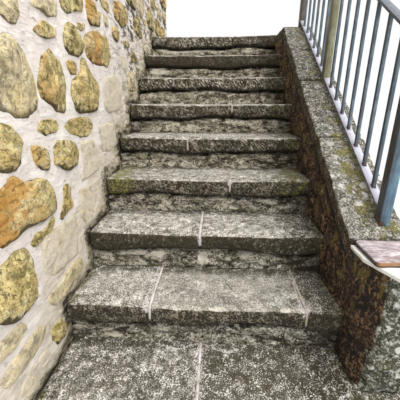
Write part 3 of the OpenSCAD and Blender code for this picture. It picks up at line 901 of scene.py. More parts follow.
def painted_steel(name, paint, light, rust_share, shade):
    """Old gloss paint on mild steel: satin, with brush marks, chips, rust at the feet and welds, and painted
    shade down the left faces.
    """
    look = Look(name)
    foot, left = look.marks(STEEL_MARKS)
    drawn = look.node("Mapping", {"Vector": look.place, "Scale": (1, 1, 0.12)})
    brush = look.patches(0.006, 0.35, 0.65, 3.0, place=drawn)
    fade = look.patches(0.06, 0.40, 0.64, 4.0, 2.0)
    chip = look.patches(0.018, 0.61, 0.64, 5.0, 4.0)
    rust = look.patches(0.030, 0.40, 0.58, 5.0, 6.0)
    run = look.patches(0.014, 0.52, 0.60, 4.0, 8.0, place=drawn)
    bare = look.overlap(foot, rust, 0.9)
    colour = look.coats(
        paint,
        (light, fade, 0.7),
        ("#d8dfe4", brush, 0.12),
        # Painted shade: the shade colour down the left faces
        (shade, left, look.ranged(run, -1.4, 0.4), 0.97),
        ("#4a3427", run, rust_share),
        ("#6d4326", chip, rust_share),
        ("#4f3422", bare),
    )
    dull = look.node("MapRange", {"Value": bare, "From Max": 0.6, "To Min": 0.42, "To Max": 0.88})
    return look.surface(colour, dull, (brush, 0.0001), (chip, -0.0003), (bare, 0.0005))


# The left wall

# How far the mortar lies behind the wall's face
MORTAR_RECESS = 0.007
# The mortar's points lie closer together up to this place along the flight and up to this height
FINE_TO_Y = 1.35
FINE_TO_Z = 1.75
# Stones of the stair face that are shaped one by one: their kind, then the distance along the flight and the
# height of each corner, in millimetres
WALL_STONES = [
    ("grey", [(85, 1335), (115, 1330), (150, 1290), (178, 1229), (192, 1174), (186, 1122), (150, 1102),
              (65, 1097), (10, 1115), (-30, 1150), (-35, 1230), (30, 1300)]),
    ("brown", [(250, 1304), (290, 1322), (315, 1336), (335, 1322), (380, 1296), (400, 1239), (392, 1179),
               (378, 1115), (355, 1096), (305, 1106), (280, 1132), (240, 1146), (205, 1159), (203, 1200),
               (225, 1255)]),
    ("ochre", [(575, 1338), (600, 1332), (640, 1300), (690, 1270), (737, 1250), (758, 1204), (745, 1172),
               (700, 1146), (680, 1110), (610, 1101), (490, 1101), (448, 1112), (435, 1149), (428, 1182),
               (448, 1232), (490, 1252), (538, 1272), (550, 1312)]),
    ("orange", [(608, 1408), (640, 1441), (700, 1467), (750, 1483), (810, 1490), (860, 1481), (912, 1493),
                (942, 1479), (958, 1419), (962, 1382), (930, 1347), (888, 1316), (840, 1324), (750, 1316),
                (680, 1318), (630, 1346), (606, 1379)]),
    ("mossy", [(490, 1461), (540, 1451), (588, 1411), (598, 1392), (586, 1352), (540, 1332), (450, 1329),
               (430, 1349), (433, 1402), (460, 1441)]),
    ("brown", [(448, 1311), (490, 1306), (507, 1279), (500, 1257), (450, 1252), (423, 1274), (423, 1296)]),
    ("ochre", [(285, 1416), (330, 1417), (392, 1400), (375, 1372), (290, 1354), (250, 1356), (222, 1369),
               (258, 1391)]),
    ("mossy", [(428, 1509), (440, 1560), (520, 1590), (600, 1600), (655, 1580), (652, 1549), (630, 1522),
               (550, 1506), (500, 1479), (450, 1482)]),
    ("ochre", [(568, 1471), (652, 1486), (645, 1462), (600, 1442), (558, 1447)]),
    ("orange", [(680, 1590), (720, 1612), (790, 1604), (812, 1576), (888, 1592), (852, 1547), (840, 1507),
                (750, 1497), (710, 1486), (670, 1502), (666, 1540)]),
    ("plain", [(898, 1587), (957, 1592), (963, 1540), (920, 1528), (893, 1550)]),
    ("orange", [(1028, 1557), (1100, 1567), (1143, 1550), (1142, 1512), (1090, 1487), (1030, 1497),
                (1003, 1524)]),
    ("brown", [(1088, 1701), (1160, 1718), (1230, 1726), (1305, 1716), (1335, 1679), (1302, 1627),
               (1230, 1597), (1200, 1586), (1140, 1602), (1078, 1607), (1056, 1641)]),
    ("ochre", [(1207, 1519), (1270, 1531), (1343, 1521), (1332, 1497), (1270, 1492), (1207, 1502)]),
    ("mossy", [(1347, 1441), (1368, 1477), (1440, 1490), (1512, 1461), (1528, 1432), (1460, 1426),
               (1420, 1416), (1368, 1411)]),
    ("ochre", [(848, 1643), (930, 1660), (1003, 1662), (997, 1618), (960, 1606), (878, 1618)]),
    ("mossy", [(188, 1087), (250, 1092), (298, 1081), (298, 1047), (260, 1036), (200, 1031), (157, 1059)]),
    ("ochre", [(328, 1050), (368, 1082), (450, 1084), (550, 1087), (602, 1071), (623, 1039), (592, 1012),
               (540, 991), (450, 1001), (388, 1017)]),
    ("ochre", [(-70, 1060), (0, 1093), (42, 1083), (62, 1052), (73, 1030), (52, 1000), (48, 963), (20, 947),
               (-30, 947), (-80, 965)]),
    ("brown", [(108, 1010), (140, 1013), (203, 987), (212, 940), (190, 911), (150, 919), (112, 958)]),
    ("ochre", [(236, 987), (280, 1011), (350, 1003), (422, 978), (443, 940), (416, 892), (350, 879),
               (300, 885), (263, 912), (228, 925)]),
    ("orange", [(-60, 927), (10, 937), (37, 907), (90, 902), (140, 897), (182, 871), (203, 819), (207, 772),
                (170, 751), (100, 748), (10, 756), (-35, 746), (-110, 741), (-160, 800), (-125, 880)]),
    ("mossy", [(-125, 702), (-60, 717), (-8, 702), (4, 650), (3, 599), (-8, 507), (-60, 501), (-110, 501),
               (-155, 527), (-200, 570), (-190, 650)]),
    ("mossy", [(12, 699), (50, 726), (100, 717), (171, 747), (178, 722), (142, 688), (100, 692), (38, 678)]),
    ("ochre", [(268, 841), (312, 836), (318, 779), (322, 727), (280, 721), (218, 697), (198, 709),
               (250, 769)]),
    ("pale", [(75, 690), (200, 694), (318, 690), (335, 600), (312, 503), (200, 512), (100, 517), (35, 565)]),
    ("pale", [(450, 982), (600, 987), (643, 930), (637, 820), (520, 803), (408, 800), (448, 870)]),
    ("pale", [(392, 785), (622, 789), (625, 660), (572, 598), (400, 583), (370, 650)]),
    ("pale", [(798, 1270), (950, 1304), (1095, 1302), (1128, 1200), (1055, 1100), (850, 1085), (770, 1120),
              (778, 1220)]),
    ("pale", [(660, 1040), (800, 1046), (930, 1030), (925, 900), (800, 880), (668, 900)]),
    ("plain", [(-225, 495), (-100, 493), (-66, 450), (-120, 428), (-225, 436)]),
    ("plain", [(-235, 385), (-150, 402), (-20, 408), (22, 380), (0, 343), (-100, 322), (-200, 330)]),
    ("grey", [(45, 478), (120, 466), (250, 500), (332, 488), (342, 420), (200, 403), (80, 398), (36, 440)]),
    ("mossy", [(28, 345), (100, 343), (142, 270), (110, 238), (50, 248), (18, 300)]),
    ("pale", [(-170, 285), (-90, 300), (-5, 300), (12, 250), (-30, 218), (-140, 213)]),
    ("plain", [(215, 1436), (270, 1478), (360, 1520), (418, 1500), (410, 1448), (340, 1431), (288, 1442)]),
    ("grey", [(70, 1412), (120, 1443), (172, 1440), (177, 1398), (150, 1368), (108, 1357), (75, 1375)]),
    ("mossy", [(1560, 1752), (1620, 1766), (1695, 1764), (1690, 1732), (1620, 1728)]),
    ("mossy", [(1748, 1772), (1800, 1784), (1866, 1778), (1860, 1745), (1790, 1740)]),
    ("pale", [(1100, 1420), (1200, 1436), (1280, 1425), (1290, 1360), (1220, 1330), (1130, 1340)]),
]


def steps_height(y):
    """Height of the tread or landing at a distance along the flight."""
    return rise * np.clip(np.floor(y / going + 1.5), 0, step_count)


def from_steps(y, z):
    """Distance in the wall's plane to the nearest step, a corner with everything behind and below it."""
    steps = range(1, step_count + 1)
    away = [np.hypot(np.maximum(nosing_y(k) - y, 0), np.maximum(z - k * rise, 0)) for k in steps]
    return np.minimum(np.min(away, axis=0), z)


def damp_reach(y):
    """How far damp and algae creep over the wall from the steps: further where the flight is shaded."""
    return 0.050 + 0.090 * ramp(y, 0.25, 1.0)


def left_wall():
    """The rubble wall: a mortar body as rings of the plan carried up, and stones on its faces."""
    rng = np.random.default_rng(11)
    low_x, low_y, top_z = wall_low.x, wall_low.y, wall_high.z
    width, length = wall_high.x - low_x, back_y - low_y
    inner_x, outer_x = wall_high.x - MORTAR_RECESS, low_x + MORTAR_RECESS
    stair_side = spaced(low_y, (FINE_TO_Y, 0.012), (back_y, 0.026))
    outer_side = spaced(low_y, (back_y, 0.045))[::-1]
    thickness = spaced(0, (width, 0.028))
    back_run = inner_x - thickness[1:-1] * (inner_x - outer_x) / thickness[-1]
    sides = [(inner_x, stair_side), (back_run, back_y), (outer_x, outer_side), (back_run[::-1], low_y)]
    x, y = np.concatenate([np.broadcast_arrays(*side) for side in sides], axis=1)
    y = np.clip(y, low_y + MORTAR_RECESS, back_y - MORTAR_RECESS)
    z = spaced(0, (0.2, 0.02), (FINE_TO_Z, 0.012), (top_z - MORTAR_RECESS, 0.028))[:, None]
    away = from_steps(y, z)
    inside = x > wall_high.x - 0.05
    # Damp grime beside the steps, and painted shade darkest in the corner where wall and step meet
    grime_and_shade = np.maximum(ramp(away, damp_reach(y), 0.0), 0.3 * ramp(away, 0.30, 0.08)) * inside
    far = ramp(y, 0.7, 1.4) * (0.4 + 0.6 * ramp(away, 1.1, 0.4)) * inside
    points, *faces = skin(x, y, z, grime_and_shade, far)
    roughen(points, points[:, :3].copy(), (0.0044, 0.11, 3, 40), (0.0020, 0.028, 2, 50))
    points[:, 2] = np.maximum(points[:, 2], 0)
    mortar = lime_mortar("lime_mortar")
    add_piece("left_wall_mortar", [(points, *faces)], mortar, MORTAR_MARKS, ["left_wall"])

    stone = rubble_stone("ochre_sandstone", "#fbeeb6", "#eed792", "#b9a05e")
    shift = np.array([-low_y * 1000, 0])
    placed = [(kind, np.array(corners) + shift) for kind, corners in WALL_STONES]
    near, far = stones_on(
        rng, (inner_x, low_y, 0), (0, 1, 0), (0, 0, 1), face_edges(length, top_z), placed,
        coursed(3, low_y, back_y, steps_height), coarse=(44, 10), kinds=("ochre", "plain", "brown", "mossy"),
    )
    # Stones beside the steps and far up the flight are stained like the mortar round them, which also deepens
    # the painted shadow round their rims
    for points, *_ in near + far:
        y, z = points[:, 1], points[:, 2]
        stained = 0.7 * ramp(from_steps(y, z), 0.3 * damp_reach(y), 0.0) + 0.35 * ramp(y, 0.9, 1.5)
        points[:, LOW_COLUMN] = np.maximum(points[:, LOW_COLUMN], stained)

    # The outer face, the front end, the back end and the top: where each starts, the headings along it and
    # up it, its length and height, its courses, its stones' grid and how far they bulge at most
    level = {"ceiling": lambda near: length, "pitch": 0.23, "course": 0.21}
    plain_faces = (
        ((outer_x, back_y, 0), (0, -1, 0), (0, 0, 1), (length, top_z),
         coursed(1, low_y, back_y, mirrored=True), (32, 7), 0.026),
        ((low_x, low_y + MORTAR_RECESS, 0), (1, 0, 0), (0, 0, 1), (width, top_z),
         coursed(2, low_x, wall_high.x), (36, 8), 0.026),
        ((wall_high.x, back_y - MORTAR_RECESS, 0), (-1, 0, 0), (0, 0, 1), (width, top_z),
         coursed(5, low_x, wall_high.x), (26, 6), 0.010),
        ((low_x, low_y, top_z - MORTAR_RECESS), (1, 0, 0), (0, 1, 0), (width, length),
         coursed(6, low_x, wall_high.x, **level), (26, 6), 0.010),
    )
    outer, *ends = [
        stones_on(rng, place, along, up, face_edges(*size), [], stones, coarse=grid, deep=deep)[1]
        for place, along, up, size, stones, grid, deep in plain_faces
    ]
    sets = {"near": near, "far": far, "outer": outer, "end": sum(ends, [])}
    for name, parts in sets.items():
        add_piece(f"left_wall_{name}_stones", parts, stone, STONE_MARKS)


# The steps

# How pale a nosing is, worn and with a painted highlight, and how strong the grain is: by step and slab where
# they differ from the usual
USUAL_LOOK = (0.65, 0.95)
SLAB_LOOKS = {(1, 1): (0.65, 0.80), (2, 0): (0.55, 0.95), (2, 1): (1.0, 0.62), (2, 2): (0.2, 0.7)}
# Sides of a slab's outline and how many lengths each is cut into, from the back edge's foot round to the bed
SLAB_COUNTS = [5, 12, 12, 6, 2, 2, 2, 2, 2, 2, 6, 6, 2, 2, 2, 6]
# The pale line at the foot of the riser behind needs finer lengths on the bottom step
FINE_COUNTS = [5, 34, *SLAB_COUNTS[2:]]
# How strongly each step's face is pecked, from the bottom step up
PECKED = [0.10, 0.05, 0.05, 0.12, 0.75, 0.45, 1.0, 0.20, 0.8]
# How much dirt is trodden into each step's top, and how dark the left part of its face is, from the foot up
GROUND_IN = [0.72, 0.28, 0.0, 0.35, 0.20, 0.20, 0.30, 0.30, 0.30]
FACE_SHADE = [0.3, 0.2, 0.9, 0.2, 0.5, 0.4, 0.0, 1.0, 0.0]
# Moss patches on the treads: step, middle across the flight, half width, strength
MOSS_PATCHES = [(4, -0.50, 0.19, 1.0), (4, 0.47, 0.20, 0.8), (5, 0.50, 0.12, 0.7), (6, 0.48, 0.14, 0.6)]
# Mortar smeared beside the joints: step, place across the flight, half width at the back and at the nosing,
# how far it runs down the face, strength
SMEARS = [
    (1, 0, 0.016, 0.016, 0.01, 1.0),
    (2, -0.213, 0.017, 0.030, 0.012, 1.0),
    (2, 0.405, 0.006, 0.026, 0.010, 0.8),
    (3, -0.020, 0.009, 0.014, 0.05, 0.7),
    (4, 0.124, 0.006, 0.018, 0.02, 0.7),
]
# How far the courses under the slabs run in under the walls, and where the pier's own course starts
COURSE_LAP = 0.004
PIER_COURSE_GAP = 0.005
# Daubs of lime left on the risers: step, place across, how far under the lip, half length, half height
LIME_DAUBS = [
    (3, -0.345, 0.030, 0.075, 0.020),
    (3, -0.225, 0.034, 0.045, 0.022),
    (3, -0.005, 0.050, 0.030, 0.040),
    (8, -0.430, 0.030, 0.110, 0.030),
    (9, -0.320, 0.022, 0.190, 0.022),
]


def of_step(step, rows):
    """The rest of each row that starts with the step's number."""
    return [row[1:] for row in rows if row[0] == step]


def foot_wear(x):
    """How deep feet wore the nosing: deepest in the middle of the flight."""
    return FOOT_WEAR * np.maximum(0, 1 - (x / half_w) ** 2)


def beside_parapet(x):
    """How much of the parapet's algae a place has."""
    return ramp(x, half_w - 0.30, half_w - 0.02)


def lip_height(step, x):
    """Underside of a slab's lip under the tread's top, wandering in slow waves across the flight."""
    waves = 0.6 * np.sin(np.radians(370 * x + 97 * step)) + 0.4 * np.sin(np.radians(900 * x + 41 * step))
    return -slab_t - LIP_WAVE * waves


def slab_outlines(step, x, depth):
    """Corners of a slab's outline, as distance behind the nosing and height over the tread, for every x."""
    worn = foot_wear(x)
    lip = lip_height(step, x)
    # The face wanders in a slow wave
    face = 0.003 * np.sin(np.radians(600 * x + 150 * step)) - 0.003
    arc = np.radians(np.arange(90, 181, 15))
    corners = [(depth, -slab_t), (depth, 0), (depth * 0.45, -0.25 * worn), (4 * NOSING_R, -0.5 * worn)]
    for a in arc:
        corners.append((NOSING_R + face + NOSING_R * np.cos(a), -worn - NOSING_R + NOSING_R * np.sin(a)))
    corners += [(face - 0.002, -0.55 * slab_t), (face + 0.003, lip + 0.010), (face + 0.012, lip)]
    corners += [(NOSING_OVERHANG - 0.003, lip), (NOSING_OVERHANG - 0.001, -slab_t)]
    return np.stack([np.stack(np.broadcast_arrays(*corner, x)[:2], axis=-1) for corner in corners], axis=1)


def worn_slab(step, number, x0, x1, depth, spacing):
    """One slab of a step: its outline carried across, roughened, chipped and rounded at its ends."""
    pale_nosing, grain = SLAB_LOOKS.get((step, number), USUAL_LOOK)
    x = spaced(x0, (x0 + 0.006, 0.003), (x1 - 0.006, spacing), (x1, 0.003))
    outline = subdivide(slab_outlines(step, x, depth), FINE_COUNTS if step == 1 else SLAB_COUNTS)
    behind, over = outline[..., 0], outline[..., 1]
    across = x[:, None]
    down = over + foot_wear(across)
    in_front = behind < 0.06
    # The nosing's arris, worn pale and given a painted highlight
    wear_and_highlight = ramp(behind, 0.034, 0.006) * ramp(down, -0.010, -0.003) * pale_nosing
    face = np.maximum(ramp(down, -0.002, -0.010) * in_front, behind > depth - 0.002)
    # The underside of the lip, for painted shade
    under = ramp(over - lip_height(step, across), 0.020, 0.002) * in_front
    # The bottom step's right slab is the dirtier one
    ground_in = GROUND_IN[step - 1] + (0.25 if step == 1 else 0) * (across > 0)
    # Trodden-in dirt, and painted shade at the back of the tread by the riser above
    dirt = np.maximum(ramp(slab_depth - behind, 0.105, 0.030), ground_in) * (over > -0.02)
    side = np.maximum(0.9 * beside_parapet(across), 0.8 * ramp(across, 0.05 - half_w, -half_w))
    side = np.maximum(side, FACE_SHADE[step - 1] * ramp(across, 0.65, 0.15) * face)
    side = np.where(x1 > half_w + 0.1, 0.3, side)
    moss = 0.55 * ramp(np.abs(across), half_w - 0.08, half_w)
    for middle, half, strength in of_step(step, MOSS_PATCHES):
        moss = np.maximum(moss, strength * ramp(np.abs(across - middle), half, 0))
    smear = 0
    for middle, half, half_nose, drop, strength in of_step(step, SMEARS):
        wide = half + (half_nose - half) * np.exp(-((behind / 0.10) ** 2))
        ended = ramp(down, -drop - 0.02, -drop) * (behind < depth - 0.01)
        smear = np.maximum(smear, strength * ended * ramp(np.abs(across - middle) / wide, 1.0, 0.2))
    if step == 1:
        # The foot of the riser behind leaves a crooked pale line on the slab
        bend = np.cos(np.radians(1500 * across)) * ramp(np.abs(across), 0.16, 0.10)
        off_line = np.abs(behind - (slab_depth - 0.034 + 0.016 * bend))
        smear = np.maximum(smear, 0.85 * ramp(off_line, 0.009, 0.003) * ramp(np.abs(across), 0.2, 0.14))
    # Both ends are rounded off
    shrink = 0.004 * ramp(np.minimum(across - x0, x1 - across), 0.008, 0.0)
    y, z = (
        place + shrink * np.sign(place.mean(axis=1, keepdims=True) - place)
        for place in (nosing_y(step) + behind, step * rise + over)
    )
    pecked = PECKED[step - 1]
    points, *faces = skin(across, y, z, wear_and_highlight, face, dirt, side, pecked, moss, under, smear, grain)
    xyz = points[:, :3].copy()
    line = xyz * (1, 0, 0)
    wear_and_highlight, face = points[:, 3], points[:, 4]
    seed = 100 + 13 * step
    nicks = 0.6 * ramp(rough(line, 0.018, 2, seed + 1), 0.2, 0.7)
    chip = np.maximum(ramp(rough(line, 0.06, 3, seed), 0.10, 0.7), nicks)
    chip = chip * ramp(wear_and_highlight, 0.2 * pale_nosing, 0.9 * pale_nosing) * 0.010
    points[:, 1] += chip + 0.003 * rough(line, 0.22, 2, seed + 2) * (wear_and_highlight + face > 0.2)
    points[:, 2] -= 0.7 * chip
    roughen(points, xyz, (0.0026, 0.075, 3, seed + 3), (0.0014, 0.020, 2, seed + 4))
    pecks = rough(xyz, 0.014, 2, seed + 5) * face * (0.0020 + 0.0030 * pecked)
    points[:, 1] += pecks + rough(xyz, 0.055, 3, seed + 6) * face * 0.0065
    return points, *faces


def joint_ribbon(step, x):
    """A flat ribbon of mortar that fills a joint: along the tread, over the nosing and down the face."""
    path = slab_outlines(step, np.array([x]), slab_depth)[0, 1:13]
    lengths = np.concatenate([[0], np.cumsum(np.linalg.norm(np.diff(path, axis=0), axis=1))])
    along = spaced(0, (lengths[-1] * 0.97, 0.005))
    centre = np.stack([np.interp(along, lengths, path[:, k]) for k in range(2)], axis=-1)
    heading = np.gradient(centre, axis=0)
    heading /= np.linalg.norm(heading, axis=1, keepdims=True)
    turn = np.linspace(0, 2 * math.pi, 18, endpoint=False)
    line = np.stack([along, 0 * along + x, 0 * along + step], axis=-1)
    wide = RIBBON_HALF_W * (1 + 0.25 * rough(line, 0.03, 3, 400 + step))
    wide = wide * ramp(along, -0.002, 0.010) * ramp(along, along[-1] + 0.001, along[-1] - 0.012) + 0.0004
    lift = 0.0016 * np.sin(turn) - 0.0012
    y = nosing_y(step) + centre[:, :1] + heading[:, 1:] * lift
    z = step * rise + centre[:, 1:] - heading[:, :1] * lift
    points, *faces = skin(x + wide[:, None] * np.cos(turn), y, z)
    roughen(points, points.copy(), (0.0010, 0.014, 3, 440 + step))
    return points, *faces


def treads():
    """Every step's slabs, and the pale mortar in their joints."""
    stone = worn_stone("worn_sandstone", "#b4b1a8", "#9d9990", "#41382a")
    fresh = lime_mortar("joint_mortar", "#e2dddd", "#cdc8c5", "#7d776b", 0.25, grimed=False)
    dull = lime_mortar("dirty_joint_mortar", "#aaa498", "#8d8779", "#5d5648", 0.4, grimed=False)
    fresh_ribbons = []
    dull_ribbons = []
    for step, joints in enumerate(TREAD_JOINTS, 1):
        starts = [-half_w + WALL_GAP] + [x + JOINT_W / 2 for x in joints]
        ends = [x - JOINT_W / 2 for x in joints] + [half_w + PARAPET_LAP]
        spacing = 0.0075 if step <= 4 else 0.010
        slabs = [worn_slab(step, k, *ends, slab_depth, spacing) for k, ends in enumerate(zip(starts, ends))]
        if step == 1:
            slabs.append(worn_slab(step, 2, half_w + JOINT_W, pier_high.x, pier_back - nosing_y(1), 0.02))
        add_piece(f"worn_tread_{step}", slabs, stone, SLAB_MARKS, [f"tread_{step}"])
        for x in joints:
            ribbons = fresh_ribbons if step <= 3 and x < 0.3 else dull_ribbons
            ribbons.append(joint_ribbon(step, x))
    add_piece("tread_joint_mortar", fresh_ribbons, fresh)
    add_piece("upper_joint_mortar", dull_ribbons, dull)


def riser_block(step, x0, x1, y0, y1, z0, z1, spacing, lipped=True):
    """One bedded course: its side outline carried across, with rubble standing out of its front face.

    Under a slab's lip the mortar has fallen out, so the front steps back there."""
    across = spaced(x0, (x1, spacing))[:, None]
    y, z = subdivide(np.array([[y0, z0], [y0, z1], [y1, z1], [y1, z0]]), [20, 5, 6, 5]).T
    border, tone = cells(across + 0.37 * step, z - z0 + 0.02, (0.21, 0.075), 700 + step)
    joint = ramp(border, 0.16, 0.03)
    if step == 3:
        # A joint of the slabs above runs on down this course
        joint = np.maximum(joint, ramp(np.abs(across - TREAD_JOINTS[2][0] - 0.02), 0.010, 0.003))
    rising = 0.72 if step < 8 else 0.25
    tone = tone * (0.2 if step == 8 else 1.0)
    # Dark soil towards the foot of the course
    foot = np.maximum(rising * ramp(z - z0, 0.075, 0.010), ramp(z - z0, 0.016, 0.0))
    if lipped:
        # The gap under the slab's lip gets painted shade, nearly black
        foot = np.maximum(foot, ramp(z - step * rise - lip_height(step, across), -0.020, -0.008))
    lime = 0
    for middle, under_lip, half, half_high in of_step(step, LIME_DAUBS):
        high = step * rise - slab_t - under_lip
        lime = np.maximum(lime, ramp(np.hypot((across - middle) / half, (z - high) / half_high), 1.3, 0.2))
    points, *faces = skin(across, y, z, tone, joint, foot, beside_parapet(across), ramp(z, 1.0, 0.45), lime)
    xyz = points[:, :3].copy()
    seed = 720 + 11 * step
    stand = 0.011 * ramp(points[:, 4], 1.0, 0.0) - 0.006
    stand = stand + 0.008 * rough(xyz, (0.16, 0.06, 0.05), 3, seed) + 0.0035 * rough(xyz, 0.022, 3, seed + 1)
    is_front = ramp(xyz[:, 1], y0 + 0.02, y0)
    points[:, 1] -= stand * is_front
    if lipped:
        hollow = 0.010 * np.maximum(0, rough(xyz * (1, 0, 0), 0.12, 3, seed + 4))
        gap = lip_height(step, xyz[:, 0]) + step * rise - 0.012 - hollow
        points[:, 1] += 0.028 * ramp(xyz[:, 2], gap - 0.007, gap + 0.001) * is_front
    is_back = ramp(xyz[:, 1], y1 - 0.02, y1)
    points[:, 1] -= is_back * (0.004 + 0.004 * rough(xyz, 0.08, 3, seed + 2))
    return points, *faces


def risers():
    """The masonry courses under the slabs."""
    rubble = riser_rubble("riser_rubble")
    for step in range(1, step_count + 1):
        front = nosing_y(step) + NOSING_OVERHANG
        heights = bed_z(step - 1), bed_z(step)
        ends = -half_w - COURSE_LAP, half_w + COURSE_LAP
        blocks = [riser_block(step, *ends, front, back_y, *heights, 0.0085)]
        if step == 1:
            ends = half_w + PIER_COURSE_GAP, pier_high.x
            blocks.append(riser_block(10, *ends, front, pier_back, *heights, 0.012, False))
        replaced = [f"riser_course_{step}"]
        add_piece(f"rubble_riser_{step}", blocks, rubble, RISER_MARKS, replaced)


def landing():
    """The landing's flags: rounded slabs carried across, their edges worn."""
    stone = worn_stone("landing_sandstone", "#b4b1a8", "#9d9990", "#5c5443")
    for name, count, seed in (("landing_front_flags", 3, 810), ("landing_back_flags", 2, 830)):
        low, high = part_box(name)
        flag_w = (high.x - low.x - (count - 1) * JOINT_W) / count
        section = rounded_square(high.y - low.y, high.z - low.z, 0.010, 5, (26, 6, 10, 6))
        slabs = []
        for k in range(count):
            x0 = low.x + k * (flag_w + JOINT_W)
            x = spaced(x0, (x0 + 0.006, 0.003), (x0 + flag_w - 0.006, 0.014), (x0 + flag_w, 0.003))[:, None]
            end = ramp(np.minimum(x - x0, x0 + flag_w - x), 0.008, 0.0)
            y = (low.y + high.y) / 2 + section[:, 0] * (1 - 0.02 * end)
            z = (low.z + high.z) / 2 + section[:, 1] * (1 - 0.06 * end)
            points, *faces = skin(x, y, z, 0, 0, 0, 0, 0, 0.15, 0, 0, USUAL_LOOK[1])
            layers = (0.0022, 0.09, 3, seed + k), (0.0010, 0.022, 2, seed + k + 5)
            roughen(points, points[:, :3].copy(), *layers)
            slabs.append((points, *faces))
        add_piece(f"worn_{name}", slabs, stone, SLAB_MARKS, [name])


# The parapet


def parapet():
    """The wall under the coping: its section carried along the flight, and stones on its outer face."""
    foot_z = coping_foot_z - COPING_T / math.cos(rake)
    head_z = landing_h - COPING_T

    def under_coping(y):
        """Height of the coping's underside."""
        return np.minimum(foot_z + (y - pier_back) * math.tan(rake), head_z)

    y = spaced(pier_back, (back_y, 0.013))[:, None]
    top = under_coping(y)
    inner_x = half_w + 0.002
    outer_x = half_w + parapet_t - MORTAR_RECESS
    x, up = subdivide(np.array([[inner_x, 0], [inner_x, 1], [outer_x, 1], [outer_x, 0]]), [76, 4, 34, 4]).T
    z = up * top
    border, tone = cells(y, z - 0.25 * y, (0.19, 0.11), 900)
    outer = ramp(x, half_w + 0.6 * parapet_t, half_w + 0.8 * parapet_t)
    marks = tone, ramp(border, 0.20, 0.03), outer, ramp(top - z, 0.45, 0.05), ramp(top - z, 0.022, 0.004)
    points, *faces = skin(x, y, z, *marks)
    xyz = points[:, :3].copy()
    stand = 0.016 * ramp(points[:, 4], 1.0, 0.0) - 0.008
    stand = stand + 0.011 * rough(xyz, 0.13, 3, 910) + 0.0055 * rough(xyz, 0.034, 3, 911)
    on_stair_side = ramp(xyz[:, 0], inner_x + 0.03, inner_x)
    points[:, 0] -= stand * on_stair_side * ramp(xyz[:, 1], pier_back, pier_back + 0.07)
    points[:, 0] += (0.004 * rough(xyz, 0.1, 3, 912)) * ramp(xyz[:, 0], outer_x - 0.03, outer_x)
    points[:, 1] -= ramp(xyz[:, 1], back_y - 0.02, back_y) * (0.004 + 0.004 * rough(xyz, 0.08, 3, 913))
    dark = mossy_rubble("mossy_rubble", "#9b937f", "#bdb5a1", "#d9d2c1", "#5f5843")
    add_piece("parapet_body", [(points, *faces)], dark, PARAPET_MARKS, ["right_wall"])

    stone = rubble_stone("parapet_stone", "#bdb59d", "#9c947b", "#746c50")
    edges = face_edges(back_y - pier_back, head_z) + [(rake + math.pi / 2, foot_z * math.cos(rake))]
    _, flank = stones_on(
        np.random.default_rng(23), (outer_x, pier_back, 0), (0, 1, 0), (0, 0, 1), edges, [],
        coursed(4, pier_back, back_y, ceiling=under_coping), coarse=(36, 8), deep=0.022,
    )
    add_piece("parapet_outer_stones", flank, stone, STONE_MARKS)


def coping_section():
    """Outline of the coping across its width and down its thickness, with both upper edges round."""
    arc = np.radians(np.linspace(0, 90, 4))
    right = [(COPING_W - COPING_EDGE_R * (1 - math.cos(a)), -COPING_EDGE_R * (1 - math.sin(a))) for a in arc]
    left = [(COPING_EDGE_R * (1 - math.sin(a)), -COPING_EDGE_R * (1 - math.cos(a))) for a in arc]
    corners = np.array([(COPING_W, -COPING_T), *right, *left, (0, -COPING_T)])
    return subdivide(corners, [6, 2, 2, 2, 24, 2, 2, 2, 8, 12]).T


def coping_length(y, z, angle, ends, slopes, seed, spacing=0.009):
    """One coping stone: its section carried along the slope between its two ends.

    An end is its distance along the top, and its slope is how far it moves on with each unit of height."""
    across, down = coping_section()
    first, last = (end + slope * down for end, slope in zip(ends, slopes))
    length = last.max() - first.min()
    part = np.linspace(0, 1, max(4, round(length / spacing)))[:, None]
    run = first + (last - first) * part
    settle = 0.004 * ramp(np.minimum(part, 1 - part) * length, 0.014, 0.0)
    x = half_w + across + settle * np.sign(COPING_W / 2 - across)
    depth = down - settle * (down > -COPING_T / 2)
    along = y + run * math.cos(angle) - depth * math.sin(angle)
    height = z + run * math.sin(angle) + depth * math.cos(angle)
    top = ramp(down, -0.024, -0.009) * ramp(across, -0.004, 0.006)
    stripe = ramp(np.abs(across - 0.56 * COPING_W), 0.095, 0.03)
    moss = stripe * (0.45 + 0.50 * ramp(along, pier_back + 0.75, pier_back + 0.15))
    white = 0.10 + 0.90 * ramp(along, pier_back + 0.62, pier_back + 0.30)
    points, *faces = skin(x, along, height, top, moss, white)
    xyz = points[:, :3].copy()
    line = xyz[:, [1, 0, 0]] * (1, 0, 0)
    edge = ramp(xyz[:, 0], half_w + 0.03, half_w)
    far = ramp(xyz[:, 0], half_w + COPING_W - 0.03, half_w + COPING_W)
    points[:, 0] += (edge * rough(line, 0.09, 3, seed) + far * rough(line, 0.13, 3, seed + 1)) * 0.009
    roughen(points, xyz, (0.0036, 0.080, 3, seed + 2), (0.0020, 0.022, 2, seed + 3))
    return points, *faces


